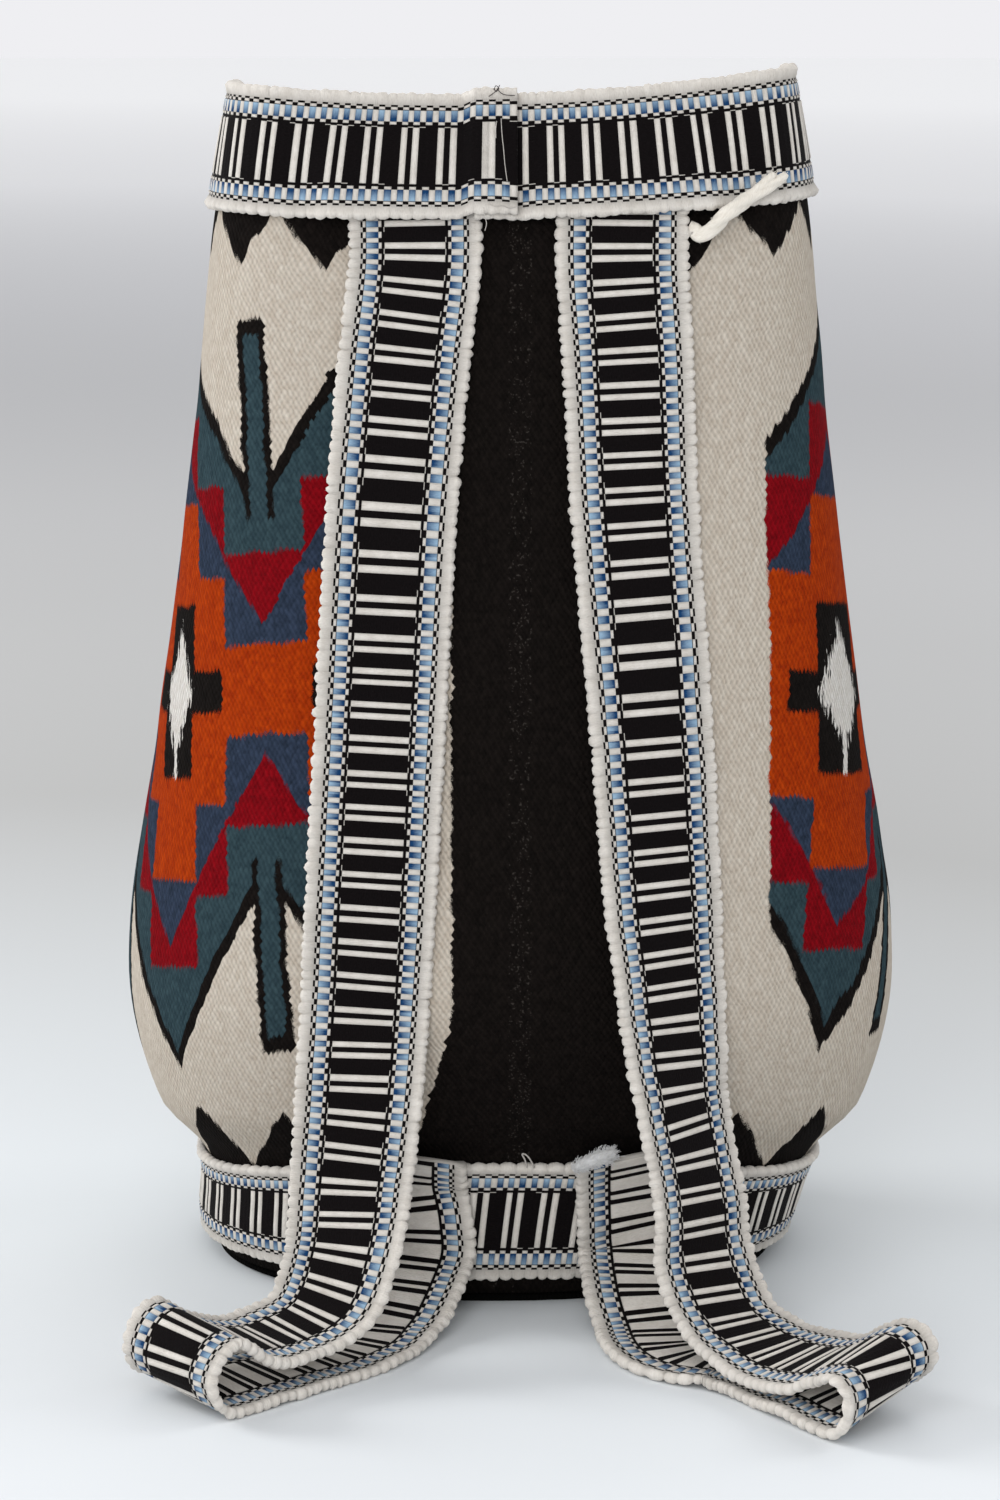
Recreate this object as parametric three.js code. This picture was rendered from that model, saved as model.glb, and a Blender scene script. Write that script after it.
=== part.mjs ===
// Woven wool backpack: a soft open-mouthed bag of tapestry cloth on a round sole, edged with
// narrow woven belt at the mouth and the foot, with two straps of the same belt on its back.
// Millimetres, +Z up. The strap side faces -Y. The origin is under the middle of the base.
import * as THREE from "three";

// Belt: one woven band makes the two edgings and the two straps.
const BELT_WIDTH = 46;
const BELT_THICK = 2.2;
const SELVAGE_WIDTH = 4.3;
const SELVAGE_THICK = 3.4;

// Gap between pieces that are sewn face to face, and the gap left under a hanging strap.
const SEAM_GAP = 0.3;
const STRAP_CLEAR = 1.1;
// Gap between the sole and the edge of the body that stands on it.
const SOLE_SEAM = 0.5;
// Gap between the folded straps and the floor.
const FLOOR_CLEAR = 0.4;

// Wool cloth of the body and of the sole that closes it.
const BODY_CLOTH = 3;
const BASE_CLOTH = 3;

// Levels of the bag, measured up the cloth at the middle of a side.
const BAG_HEIGHT = 441;
const SHOULDER_DROP = 51;
const SHOULDER_LEVEL = BAG_HEIGHT - SHOULDER_DROP;
const CHEST_LEVEL = 318;
const WAIST_LEVEL = 206;
const BELLY_LEVEL = 115;
const OVERHANG_LEVEL = 68;
const FOOT_BAND_TOP = 48;
const FOOT_BAND_BOTTOM = 10;
const BASE_TURN = 14;

// Half width, depth behind the axis (strap side) and depth in front of it, at each level.
const MOUTH = { half: 98, back: 82, front: 76, square: 6 };
const SHOULDER = { half: 107.5, back: 93, front: 86, square: 4.4 };
const CHEST = { half: 115.7, back: 99, front: 95, square: 3.2 };
const WAIST = { half: 131, back: 115, front: 110, square: 2.5 };
const BELLY = { half: 144.3, back: 123, front: 119, square: 2.3 };
const OVERHANG = { half: 134, back: 113, front: 110, square: 2.2 };
const ANKLE = { half: 116, back: 99, front: 98, square: 2.2 };
const BASE = { half: 110.5, back: 90.5, front: 90.5, square: 2.2 };
const FOOT = { half: 105, back: 85, front: 85, square: 2.2 };

// The bag stands a little askew: its base is pushed to the left under the body.
const BASE_SHIFT = -6;
const SHIFT_ENDS = 62;

// The rim sags between the straps, tilts up to the right and drops at the front.
const RIM_SAG = 6.5;
const RIM_TILT = 2.8;
const RIM_FRONT_DROP = 10;
const RIM_MOVES_FROM = 290;
// The belly slumps over the foot band at the sides and lifts off it at the back and front.
const SLUMP = 9;
const SLUMP_ENDS = 150;
// Share of that lift under the lower ends of the straps.
const STRAP_FOOT_LIFT = 0.5;

// Straps: how far each end reaches under or over the edging it is sewn to.
const STRAP_TUCK = 6;
const STRAP_END_OVER = 4;
const STRAP_TOP_LEFT = -33.5;
const STRAP_TOP_RIGHT = 38.3;
const STRAP_FOOT_LEFT = -38.5;
const STRAP_FOOT_RIGHT = 45.5;
// The mouth band is pushed out where it is sewn over a strap.
const BAND_EASE = 5.8;
const EASE_RUN_OUT = 14;
const BAND_LAP = 14;
// Where each edging laps, as a share of the way round from the middle of the back.
const MOUTH_LAP_AT = 0;
const FOOT_LAP_AT = 0.5;

// Loose yarn tail beside the right strap.
const YARN = 4.4;
const YARN_SIDES = 8;
const YARN_STEPS = 10;

const RING_POINTS = 56;
const RING_SAMPLES = 320;
const MOUTH_BAND_STEPS = 128;
const FOOT_BAND_STEPS = 96;
const STRAP_STEPS_PER_STATION = 2.5;
// Share of the way round over which the slope of the cloth is read.
const SLOPE_STEP = 0.002;
// Furthest out on a section, as a share of its half width, that a strap is laid.
const WIDEST_LAY = 0.98;

const COLOURS = {
  wool: 0xd9d0c2,
  black: 0x1d1917,
  belt: 0xe9e1d3,
  yarn: 0xf0e9dd,
};

const BODY_LEVELS = [
  [0, FOOT],
  [BASE_TURN, BASE],
  [FOOT_BAND_TOP, ANKLE],
  [OVERHANG_LEVEL, OVERHANG],
  [BELLY_LEVEL, BELLY],
  [WAIST_LEVEL, WAIST],
  [CHEST_LEVEL, CHEST],
  [SHOULDER_LEVEL, SHOULDER],
  [BAG_HEIGHT, MOUTH],
];

const clamp01 = (t) => Math.min(1, Math.max(0, t));
const smooth = (t) => clamp01(t) * clamp01(t) * (3 - 2 * clamp01(t));
const mix = (a, b, t) => a + (b - a) * t;

// A smooth curve of one measure up the levels, with the slopes of its neighbours.
function measureAt(level, key) {
  const rows = BODY_LEVELS;
  const z = Math.min(Math.max(level, rows[0][0]), rows.at(-1)[0]);
  const i = Math.min(rows.findLastIndex(([from]) => from <= z), rows.length - 2);
  const slope = (k) => {
    const low = rows[Math.max(k - 1, 0)];
    const high = rows[Math.min(k + 1, rows.length - 1)];
    return (high[1][key] - low[1][key]) / (high[0] - low[0]);
  };
  const [z0, m0] = rows[i];
  const [z1, m1] = rows[i + 1];
  const span = z1 - z0;
  const t = (z - z0) / span;
  const t2 = t * t;
  const t3 = t2 * t;
  return (
    m0[key] * (2 * t3 - 3 * t2 + 1) +
    slope(i) * span * (t3 - 2 * t2 + t) +
    m1[key] * (3 * t2 - 2 * t3) +
    slope(i + 1) * span * (t3 - t2)
  );
}

const shiftAt = (level) => BASE_SHIFT * (1 - smooth(level / SHIFT_ENDS));

// One level of the bag as a closed ring, from the middle of the back round by the right.
// Columns of the ring are even shares of its length, as the warps of the cloth are.
const ringCache = new Map();
function ringAt(level, inset) {
  const cacheKey = `${level.toFixed(3)}:${inset}`;
  if (ringCache.has(cacheKey)) return ringCache.get(cacheKey);
  const half = measureAt(level, "half") - inset;
  const back = measureAt(level, "back") - inset;
  const front = measureAt(level, "front") - inset;
  const square = measureAt(level, "square");
  const shift = shiftAt(level);
  const rim = smooth((level - RIM_MOVES_FROM) / (BAG_HEIGHT - RIM_MOVES_FROM));
  const slump =
    level < FOOT_BAND_TOP
      ? smooth(level / FOOT_BAND_TOP)
      : 1 - smooth((level - FOOT_BAND_TOP) / (SLUMP_ENDS - FOOT_BAND_TOP));
  const points = [];
  for (let i = 0; i <= RING_SAMPLES; i++) {
    const turn = (2 * Math.PI * i) / RING_SAMPLES;
    const depth = Math.cos(turn) > 0 ? back : front;
    const deep = Math.abs(Math.cos(turn)) / depth;
    const wide = Math.abs(Math.sin(turn)) / half;
    const reach = Math.pow(Math.pow(deep, square) + Math.pow(wide, square), -1 / square);
    const x = reach * Math.sin(turn);
    const y = -reach * Math.cos(turn);
    const across = x / half;
    const along = y / depth;
    const sag = along < 0 ? -along * RIM_SAG * (1 - across * across) : along * RIM_FRONT_DROP;
    const lift = SLUMP * (along * along - across * across);
    const z = level + rim * (RIM_TILT * across - sag) + slump * lift;
    points.push(new THREE.Vector3(x + shift, y, z));
  }
  const lengths = [0];
  for (let i = 1; i <= RING_SAMPLES; i++) {
    lengths.push(lengths[i - 1] + points[i].distanceTo(points[i - 1]));
  }
  const ring = { points, lengths };
  ringCache.set(cacheKey, ring);
  return ring;
}

// A point of the bag's outer face: turn is a share of the way round, level is up the cloth.
function wallPoint(turn, level, inset = 0) {
  const { points, lengths } = ringAt(level, inset);
  const at = (turn - Math.floor(turn)) * lengths.at(-1);
  const i = Math.min(lengths.findLastIndex((l) => l <= at), points.length - 2);
  const t = (at - lengths[i]) / (lengths[i + 1] - lengths[i]);
  return points[i].clone().lerp(points[i + 1], t);
}

function wallNormal(turn, level) {
  const round = wallPoint(turn + SLOPE_STEP, level).sub(wallPoint(turn - SLOPE_STEP, level));
  const up = wallPoint(turn, Math.min(level + 1, BAG_HEIGHT)).sub(wallPoint(turn, level - 1));
  return round.cross(up).normalize();
}

const mouthLength = () => ringAt(BAG_HEIGHT, 0).lengths.at(-1);
const footLength = () => ringAt(FOOT_BAND_BOTTOM, 0).lengths.at(-1);

// How far back the cloth reaches straight behind x, at one level.
function backAt(x, level) {
  const across = Math.min(Math.abs(x - shiftAt(level)) / measureAt(level, "half"), WIDEST_LAY);
  const square = measureAt(level, "square");
  return measureAt(level, "back") * Math.pow(1 - Math.pow(across, square), 1 / square);
}

// A closed skin over rings of equal count. Open ends are capped with the given triangles.
function skin(rings, { loop = false, cap = null } = {}) {
  const count = rings[0].length;
  const positions = rings.flat().flatMap((p) => [p.x, p.y, p.z]);
  const index = [];
  const last = loop ? rings.length : rings.length - 1;
  for (let i = 0; i < last; i++) {
    const a = i * count;
    const b = ((i + 1) % rings.length) * count;
    for (let j = 0; j < count; j++) {
      const k = (j + 1) % count;
      index.push(a + j, a + k, b + k, a + j, b + k, b + j);
    }
  }
  if (cap) {
    const end = (rings.length - 1) * count;
    for (const [p, q, r] of cap) index.push(p, r, q, end + p, end + q, end + r);
  }
  const geometry = new THREE.BufferGeometry();
  geometry.setAttribute("position", new THREE.Float32BufferAttribute(positions, 3));
  geometry.setIndex(index);
  return facingOut(geometry);
}

// Turns every face round if the skin encloses a negative volume.
function facingOut(geometry) {
  const p = geometry.getAttribute("position");
  const index = geometry.getIndex().array;
  const [a, b, c] = [new THREE.Vector3(), new THREE.Vector3(), new THREE.Vector3()];
  let volume = 0;
  for (let i = 0; i < index.length; i += 3) {
    a.fromBufferAttribute(p, index[i]);
    b.fromBufferAttribute(p, index[i + 1]);
    c.fromBufferAttribute(p, index[i + 2]);
    volume += a.dot(b.cross(c));
  }
  if (volume < 0) {
    const turned = Array.from(index);
    for (let i = 0; i < turned.length; i += 3) {
      [turned[i + 1], turned[i + 2]] = [turned[i + 2], turned[i + 1]];
    }
    geometry.setIndex(turned);
  }
  geometry.computeVertexNormals();
  return geometry;
}

const group = new THREE.Group();
function add(name, geometry, colour, roughness = 0.95) {
  const material = new THREE.MeshStandardMaterial({ color: colour, roughness, metalness: 0 });
  const mesh = new THREE.Mesh(geometry, material);
  mesh.name = name;
  group.add(mesh);
}

const ringOf = (level, inset) =>
  Array.from({ length: RING_POINTS }, (_, i) => wallPoint(i / RING_POINTS, level, inset));

// Body: a tube of cloth that stands on the rim of the sole and ends just under the mouth band's edge.
const BODY_BOTTOM = BASE_CLOTH + SOLE_SEAM;
const BODY_TOP = BAG_HEIGHT - SELVAGE_THICK;
const BODY_ROWS = [
  BODY_BOTTOM,
  BASE_TURN,
  mix(BASE_TURN, FOOT_BAND_TOP, 0.6),
  FOOT_BAND_TOP,
  mix(FOOT_BAND_TOP, OVERHANG_LEVEL, 0.5),
  OVERHANG_LEVEL,
  mix(OVERHANG_LEVEL, BELLY_LEVEL, 0.5),
  BELLY_LEVEL,
  mix(BELLY_LEVEL, WAIST_LEVEL, 0.5),
  WAIST_LEVEL,
  mix(WAIST_LEVEL, CHEST_LEVEL, 0.5),
  CHEST_LEVEL,
  mix(CHEST_LEVEL, SHOULDER_LEVEL, 0.5),
  SHOULDER_LEVEL,
  mix(SHOULDER_LEVEL, BODY_TOP, 0.5),
  BODY_TOP,
];
const outside = BODY_ROWS.map((level) => ringOf(level, 0));
const inside = BODY_ROWS.map((level) => ringOf(level, BODY_CLOTH)).reverse();
add("body_cloth", skin([...outside, ...inside], { loop: true }), COLOURS.wool);

// Base: a flat round sole, as wide as the foot of the body.
const fan = Array.from({ length: RING_POINTS - 2 }, (_, i) => [0, i + 1, i + 2]);
const soleRing = (z) => ringOf(z, 0).map((p) => p.setZ(z));
add("base_cloth", skin([soleRing(0), soleRing(BASE_CLOTH)], { cap: fan }), COLOURS.black);

// Belt section: four places across the web, thicker along both selvages.
const WEB_EDGE = BELT_WIDTH / 2 - SELVAGE_WIDTH;
const BELT_ACROSS = [-BELT_WIDTH / 2, -WEB_EDGE, WEB_EDGE, BELT_WIDTH / 2];
const BELT_HALVES = [SELVAGE_THICK / 2, BELT_THICK / 2, BELT_THICK / 2, SELVAGE_THICK / 2];
const LAST = BELT_ACROSS.length - 1;
const BELT_CAP = BELT_ACROSS.slice(1).flatMap((_, j) => [
  [j, j + 1, 2 * LAST - j],
  [j, 2 * LAST - j, 2 * LAST + 1 - j],
]);

// One ring of belt: face points across, then reverse points back, from middles and normals.
function beltRing(middles, normals) {
  const face = middles.map((p, j) => p.clone().addScaledVector(normals[j], BELT_HALVES[j]));
  const reverse = middles.map((p, j) => p.clone().addScaledVector(normals[j], -BELT_HALVES[j]));
  return [...face, ...reverse.reverse()];
}

// A belt sewn round the bag between two levels. Its last stretch laps over its start.
function edging(steps, bottom, top, length, start, easeAt) {
  const lap = BAND_LAP / length;
  const lapped = SELVAGE_THICK + SEAM_GAP;
  const lapReady = 1 - lap;
  const rings = [];
  for (let i = 0; i <= steps; i++) {
    const share = mix(-lap / 2, 1 + lap / 2, i / steps);
    const turn = start + share;
    const over = lapped * smooth(1 + (share - lapReady) / (lap / 2));
    const middles = [];
    const normals = [];
    BELT_ACROSS.forEach((w, j) => {
      const level = mix(bottom, top, w / BELT_WIDTH + 0.5);
      const normal = wallNormal(turn, level);
      const ease = j < 2 ? easeAt(wallPoint(turn, level)) : 0;
      const stand = SEAM_GAP + SELVAGE_THICK / 2 + over + ease;
      middles.push(wallPoint(turn, level).addScaledVector(normal, stand));
      normals.push(normal);
    });
    rings.push(beltRing(middles, normals));
  }
  return skin(rings, { cap: BELT_CAP });
}

const MOUTH_BAND_BOTTOM = BAG_HEIGHT - Math.sqrt(BELT_WIDTH ** 2 - (SHOULDER.back - MOUTH.back) ** 2);
const strapEase = (p) => {
  if (p.y > 0) return 0;
  const away = Math.min(Math.abs(p.x - STRAP_TOP_LEFT), Math.abs(p.x - STRAP_TOP_RIGHT));
  return BAND_EASE * (1 - smooth((away - BELT_WIDTH / 2 - SELVAGE_THICK) / EASE_RUN_OUT));
};
add(
  "top_band",
  edging(MOUTH_BAND_STEPS, MOUTH_BAND_BOTTOM, BAG_HEIGHT, mouthLength(), MOUTH_LAP_AT, strapEase),
  COLOURS.belt,
);
add(
  "bottom_band",
  edging(FOOT_BAND_STEPS, FOOT_BAND_BOTTOM, FOOT_BAND_TOP, footLength(), FOOT_LAP_AT, () => 0),
  COLOURS.belt,
);

// Straps. A station is the middle of the belt, with the heading of its width in plan and its tilt.
const rad = THREE.MathUtils.degToRad;
const widthAt = (heading, tilt) =>
  new THREE.Vector3(
    Math.cos(rad(heading)) * Math.cos(rad(tilt)),
    Math.sin(rad(heading)) * Math.cos(rad(tilt)),
    Math.sin(rad(tilt)),
  );

// A station laid against the bag, as close as its two edges and its middle allow.
function against(x, height, heading, level, stand) {
  const side = widthAt(heading, 0).multiplyScalar(BELT_WIDTH / 2);
  const reach = [-1, 0, 1].map((k) => backAt(x + k * side.x, level) + k * side.y);
  return [x, -(Math.max(...reach) + stand), height, heading, 0];
}

// A station that hangs down the back, and one that climbs the face of the foot band.
function onBack(x, height, heading) {
  return against(x, height, heading, height, STRAP_CLEAR + SELVAGE_THICK / 2);
}
function onFootBand(x, height, heading) {
  const level = height - STRAP_FOOT_LIFT * SLUMP * smooth(height / FOOT_BAND_TOP);
  return against(x, height, heading, level, 2 * SEAM_GAP + 1.5 * SELVAGE_THICK);
}

// A station of the free run, measured out from the back of the belly.
const free = (x, out, height, heading, tilt = 0) => [x, -(BELLY.back + out), height, heading, tilt];
const floorHeight = SELVAGE_THICK / 2 + FLOOR_CLEAR;

const footTop = FOOT_BAND_TOP + SLUMP + STRAP_END_OVER;
const strapTop = MOUTH_BAND_BOTTOM - RIM_SAG + STRAP_TUCK;

const LEFT_STRAP = [
  onBack(STRAP_TOP_LEFT, strapTop, -1),
  onBack(STRAP_TOP_LEFT, strapTop - 20, -1),
  onBack(-37, 345, -1),
  onBack(-41.5, 294, -1),
  onBack(-45.2, 228, -1),
  onBack(-49, 160, -3),
  onBack(-51.5, 118, -7),
  free(-53.5, 11, 88, -12),
  free(-56, 17, 62, -20),
  free(-59, 28, 38, -29),
  free(-66, 36, 21, -38, -2),
  free(-80, 48, 15.8, -43, -5),
  free(-89, 56.5, 16.5, -43.6, -7),
  free(-96.3, 63.6, 20, -43.6, -8),
  free(-102, 69.2, 25.2, -43.6, -8),
  free(-106, 73, 28, -43.6, -8),
  free(-110, 77, 26.5, -43.6, -8),
  free(-113, 79.8, 22, -43.6, -8),
  free(-114.5, 81.2, 16, -43.6, -8),
  free(-113, 79.8, 9.8, -43.6, -8),
  free(-109, 76, 5.4, -43.6, -8),
  free(-101.5, 69, 4.6, -43.6, -7),
  free(-80, 47.5, 3.2, -43, -3),
  free(-60, 27, floorHeight, -41),
  free(-51.5, 14.5, floorHeight + 0.4, -33),
  free(-46.5, 2.5, 4.6, -22),
  free(-42, -7.5, 10, -15),
  onFootBand(-35.5, 22, -11),
  onFootBand(-36, 34, -11),
  onFootBand(STRAP_FOOT_LEFT, 48, -11),
  onFootBand(STRAP_FOOT_LEFT, footTop, -11),
];

const RIGHT_STRAP = [
  onBack(STRAP_TOP_RIGHT, strapTop, 1),
  onBack(STRAP_TOP_RIGHT, strapTop - 20, 1),
  onBack(40.3, 345, 6),
  onBack(42.8, 294, 12),
  onBack(48, 228, 18),
  onBack(52.8, 160, 25),
  onBack(56.4, 118, 35),
  free(59.6, 10, 89, 44),
  free(63, 13, 70, 48),
  free(66, 17.5, 52, 45),
  free(67.3, 20.5, 36, 41),
  free(70.5, 26, 25, 42),
  free(74.5, 32, 18, 44, 1),
  free(80, 39.5, 14, 45, 3),
  free(92.6, 58, 11.6, 45, 8),
  free(100.5, 69.4, 13.3, 45, 10),
  free(108, 80.5, 17.4, 45, 12),
  free(114, 89, 22.8, 45, 13),
  free(118.4, 95.4, 25.1, 45, 13),
  free(122.1, 100.8, 23.4, 45, 13),
  free(123.8, 103, 18.6, 45, 13),
  free(122.8, 101.8, 12.4, 45, 13),
  free(119.5, 97.2, 8, 45, 13),
  free(104.3, 75, 6.7, 45, 10),
  free(88.7, 52.4, 4.6, 46, 5),
  free(78, 42, floorHeight + 1.3, 49, 2),
  free(68.6, 37.2, floorHeight + 0.4, 47),
  free(60.8, 31.6, floorHeight, 39),
  free(55.4, 22, floorHeight + 0.2, 25),
  free(52.2, 3.5, 4, 12),
  free(49.3, -8, 10.5, 13),
  onFootBand(46.6, 22, 17),
  onFootBand(45.8, 34, 18),
  onFootBand(STRAP_FOOT_RIGHT, 48, 18),
  onFootBand(STRAP_FOOT_RIGHT, footTop, 18),
];

function strap(stations) {
  const path = new THREE.CatmullRomCurve3(stations.map(([x, y, z]) => new THREE.Vector3(x, y, z)));
  const steps = Math.round((stations.length - 1) * STRAP_STEPS_PER_STATION);
  const rings = [];
  for (let i = 0; i <= steps; i++) {
    const t = i / steps;
    const at = t * (stations.length - 1);
    const low = Math.min(Math.floor(at), stations.length - 2);
    const [, , , heading0, tilt0] = stations[low];
    const [, , , heading1, tilt1] = stations[low + 1];
    const along = path.getTangent(t);
    const side = widthAt(mix(heading0, heading1, at - low), mix(tilt0, tilt1, at - low));
    side.addScaledVector(along, -side.dot(along)).normalize();
    const normal = along.clone().cross(side);
    const middles = BELT_ACROSS.map((w) => path.getPoint(t).addScaledVector(side, w));
    rings.push(beltRing(middles, BELT_ACROSS.map(() => normal)));
  }
  return skin(rings, { cap: BELT_CAP });
}
add("strap_left", strap(LEFT_STRAP), COLOURS.belt);
add("strap_right", strap(RIGHT_STRAP), COLOURS.belt);

// Yarn tail: leaves the right strap's edge under the mouth band and lies up over the band.
const YARN_ROUTE = [
  [63.4, -94.6, 388.3],
  [65, -95.4, 386.9],
  [67.8, -96.6, 387.9],
  [71, -97.8, 391],
  [74.5, -97.6, 394.4],
  [78.6, -95.2, 397.2],
  [83.9, -91.4, 400.4],
  [89.6, -87.6, 404],
  [95.2, -83.6, 407.6],
].map(([x, y, z]) => new THREE.Vector3(x, y, z));
const yarnSection = new THREE.Shape(
  Array.from({ length: YARN_SIDES }, (_, i) => {
    const turn = (2 * Math.PI * i) / YARN_SIDES;
    return new THREE.Vector2((YARN / 2) * Math.cos(turn), (YARN / 2) * Math.sin(turn));
  }),
);
const yarnTail = new THREE.ExtrudeGeometry(yarnSection, {
  steps: YARN_STEPS,
  extrudePath: new THREE.CatmullRomCurve3(YARN_ROUTE),
});
add("tie_yarn", yarnTail, COLOURS.yarn);

export default group;
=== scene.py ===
"""Woven wool backpack: the looks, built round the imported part.

Shapes are worked out in millimetres, as the cloth is, and turned into metres when a mesh is made.
"""
import collections
import functools
import math

import bpy
import numpy as np
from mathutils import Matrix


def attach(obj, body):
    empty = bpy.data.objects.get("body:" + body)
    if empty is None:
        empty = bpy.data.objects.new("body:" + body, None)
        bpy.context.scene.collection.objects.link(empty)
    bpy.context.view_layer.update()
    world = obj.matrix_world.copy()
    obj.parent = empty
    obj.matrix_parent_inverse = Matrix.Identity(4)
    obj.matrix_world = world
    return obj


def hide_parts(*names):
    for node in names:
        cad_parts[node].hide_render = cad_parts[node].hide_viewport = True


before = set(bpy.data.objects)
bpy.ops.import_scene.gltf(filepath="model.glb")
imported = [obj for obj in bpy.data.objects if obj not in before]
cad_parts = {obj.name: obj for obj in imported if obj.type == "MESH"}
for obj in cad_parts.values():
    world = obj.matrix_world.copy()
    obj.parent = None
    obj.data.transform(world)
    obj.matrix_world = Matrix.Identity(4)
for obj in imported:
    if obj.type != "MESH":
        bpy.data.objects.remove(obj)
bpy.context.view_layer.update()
MM = 0.001

# Belt: one woven band makes the two edgings and the two straps.
BELT_WIDTH = 46.0
SELVAGE_WIDTH = 4.25
SELVAGE_THICK = 3.4
SEAM_GAP = 0.3
STRAP_CLEAR = 1.1
FLOOR_CLEAR = 0.4

# Body cloth: levels up the bag, and the section at each of them.
BODY_CLOTH = 3.0
SOLE_SEAM = 0.5
BAG_HEIGHT = 441.0
FOOT_BAND_TOP = 48.0
FOOT_BAND_BOTTOM = 10.0
LEVELS = np.array([0, 14, FOOT_BAND_TOP, 68, 115, 206, 318, 390, BAG_HEIGHT])
HALF = np.array([105, 110.5, 116, 134, 144.3, 131, 115.7, 107.5, 98])
BACK = np.array([85, 90.5, 99, 113, 123, 115, 99, 93, 82])
FRONT = np.array([85, 90.5, 98, 110, 119, 110, 95, 86, 76])
SQUARE = np.array([2.2, 2.2, 2.2, 2.2, 2.3, 2.5, 3.2, 4.4, 6])
BELLY_BACK, SHOULDER_BACK, MOUTH_BACK = BACK[[4, 7, 8]]
BASE_SHIFT = -6.0
SHIFT_ENDS = 62.0
RIM_SAG = 6.5
RIM_TILT = 2.8
RIM_FRONT_DROP = 10.0
RIM_MOVES_FROM = 290.0
SLUMP = 9.0
SLUMP_ENDS = 150.0
STRAP_FOOT_LIFT = 0.5

# Straps and edgings
STRAP_TUCK = 6.0
STRAP_END_OVER = 4.0
STRAP_TOP_LEFT = -33.5
STRAP_TOP_RIGHT = 38.3
STRAP_FOOT_LEFT = -38.5
STRAP_FOOT_RIGHT = 45.5
BAND_EASE = 5.8
EASE_RUN_OUT = 14.0
BAND_LAP = 14.0
LAP_LIFT = 1.2
LAP_RISE = 6.0
YARN = 4.4


# Curves
def clamp01(t):
    return np.clip(t, 0.0, 1.0)


def smooth(t):
    t = clamp01(t)
    return t * t * (3 - 2 * t)


def mix(a, b, t):
    return a + (b - a) * t


def curve(start, start_slope, end, end_slope, t):
    """A place on a cubic curve, t of the way from start to end."""
    return (
        start * (2 * t**3 - 3 * t**2 + 1)
        + start_slope * (t**3 - 2 * t**2 + t)
        + end * (3 * t**2 - 2 * t**3)
        + end_slope * (t**3 - t**2)
    )


def dome(t):
    """A half circle over t from 0 to 1."""
    return np.sqrt(np.clip(1 - (2 * t - 1) ** 2, 0, 1))


def unit(vectors):
    return vectors / np.linalg.norm(vectors, axis=1, keepdims=True)


def distance_along(path):
    """How far along a path each of its points lies."""
    return np.concatenate([[0], np.cumsum(np.linalg.norm(np.diff(path, axis=0), axis=1))])


def through_points(points, steps):
    """A smooth path through points, with even steps between each and the next."""
    points = np.asarray(points, float)
    ends = [2 * points[0] - points[1], *points, 2 * points[-1] - points[-2]]
    path = []
    for p0, p1, p2, p3 in zip(ends, ends[1:], ends[2:], ends[3:]):
        d0, d1, d2 = (math.sqrt(np.linalg.norm(b - a)) for a, b in ((p0, p1), (p1, p2), (p2, p3)))
        m1 = ((p1 - p0) / d0 - (p2 - p0) / (d0 + d1) + (p2 - p1) / d1) * d1
        m2 = ((p2 - p1) / d1 - (p3 - p1) / (d1 + d2) + (p3 - p2) / d2) * d1
        path += [curve(p1, m1, p2, m2, k / steps) for k in range(steps)]
    path.append(points[-1])
    return np.array(path)


WAVE_SHORTENS, WAVE_FADES, WAVE_TAMED = 0.83, 0.5, 0.35


def waves(t, longest, count, seed):
    """Soft unevenness along t, within about 1 either way."""
    draw = np.random.default_rng(seed)
    total = np.zeros_like(np.asarray(t, float))
    for k in range(count):
        length = longest / (1 + WAVE_SHORTENS * k)
        total += np.sin(2 * math.pi * (t / length + draw.random())) / (1 + WAVE_FADES * k)
    return total / (1 + WAVE_TAMED * count)


# Bag surface
RING_SAMPLES = 960
SLOPE_STEP = 0.002
WIDEST_SHARE = 0.98


def slopes_of(values):
    rise, run = np.diff(values), np.diff(LEVELS)
    inner = (values[2:] - values[:-2]) / (LEVELS[2:] - LEVELS[:-2])
    return np.concatenate([[rise[0] / run[0]], inner, [rise[-1] / run[-1]]])


def measure_at(level, values):
    """One measure of the section, on a smooth curve up the levels."""
    z = min(max(level, LEVELS[0]), LEVELS[-1])
    i = min(int(np.searchsorted(LEVELS, z, side="right")) - 1, len(LEVELS) - 2)
    span = LEVELS[i + 1] - LEVELS[i]
    slope = slopes_of(values) * span
    return curve(values[i], slope[i], values[i + 1], slope[i + 1], (z - LEVELS[i]) / span)


def shift_at(level):
    return BASE_SHIFT * (1 - smooth(level / SHIFT_ENDS))


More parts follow.
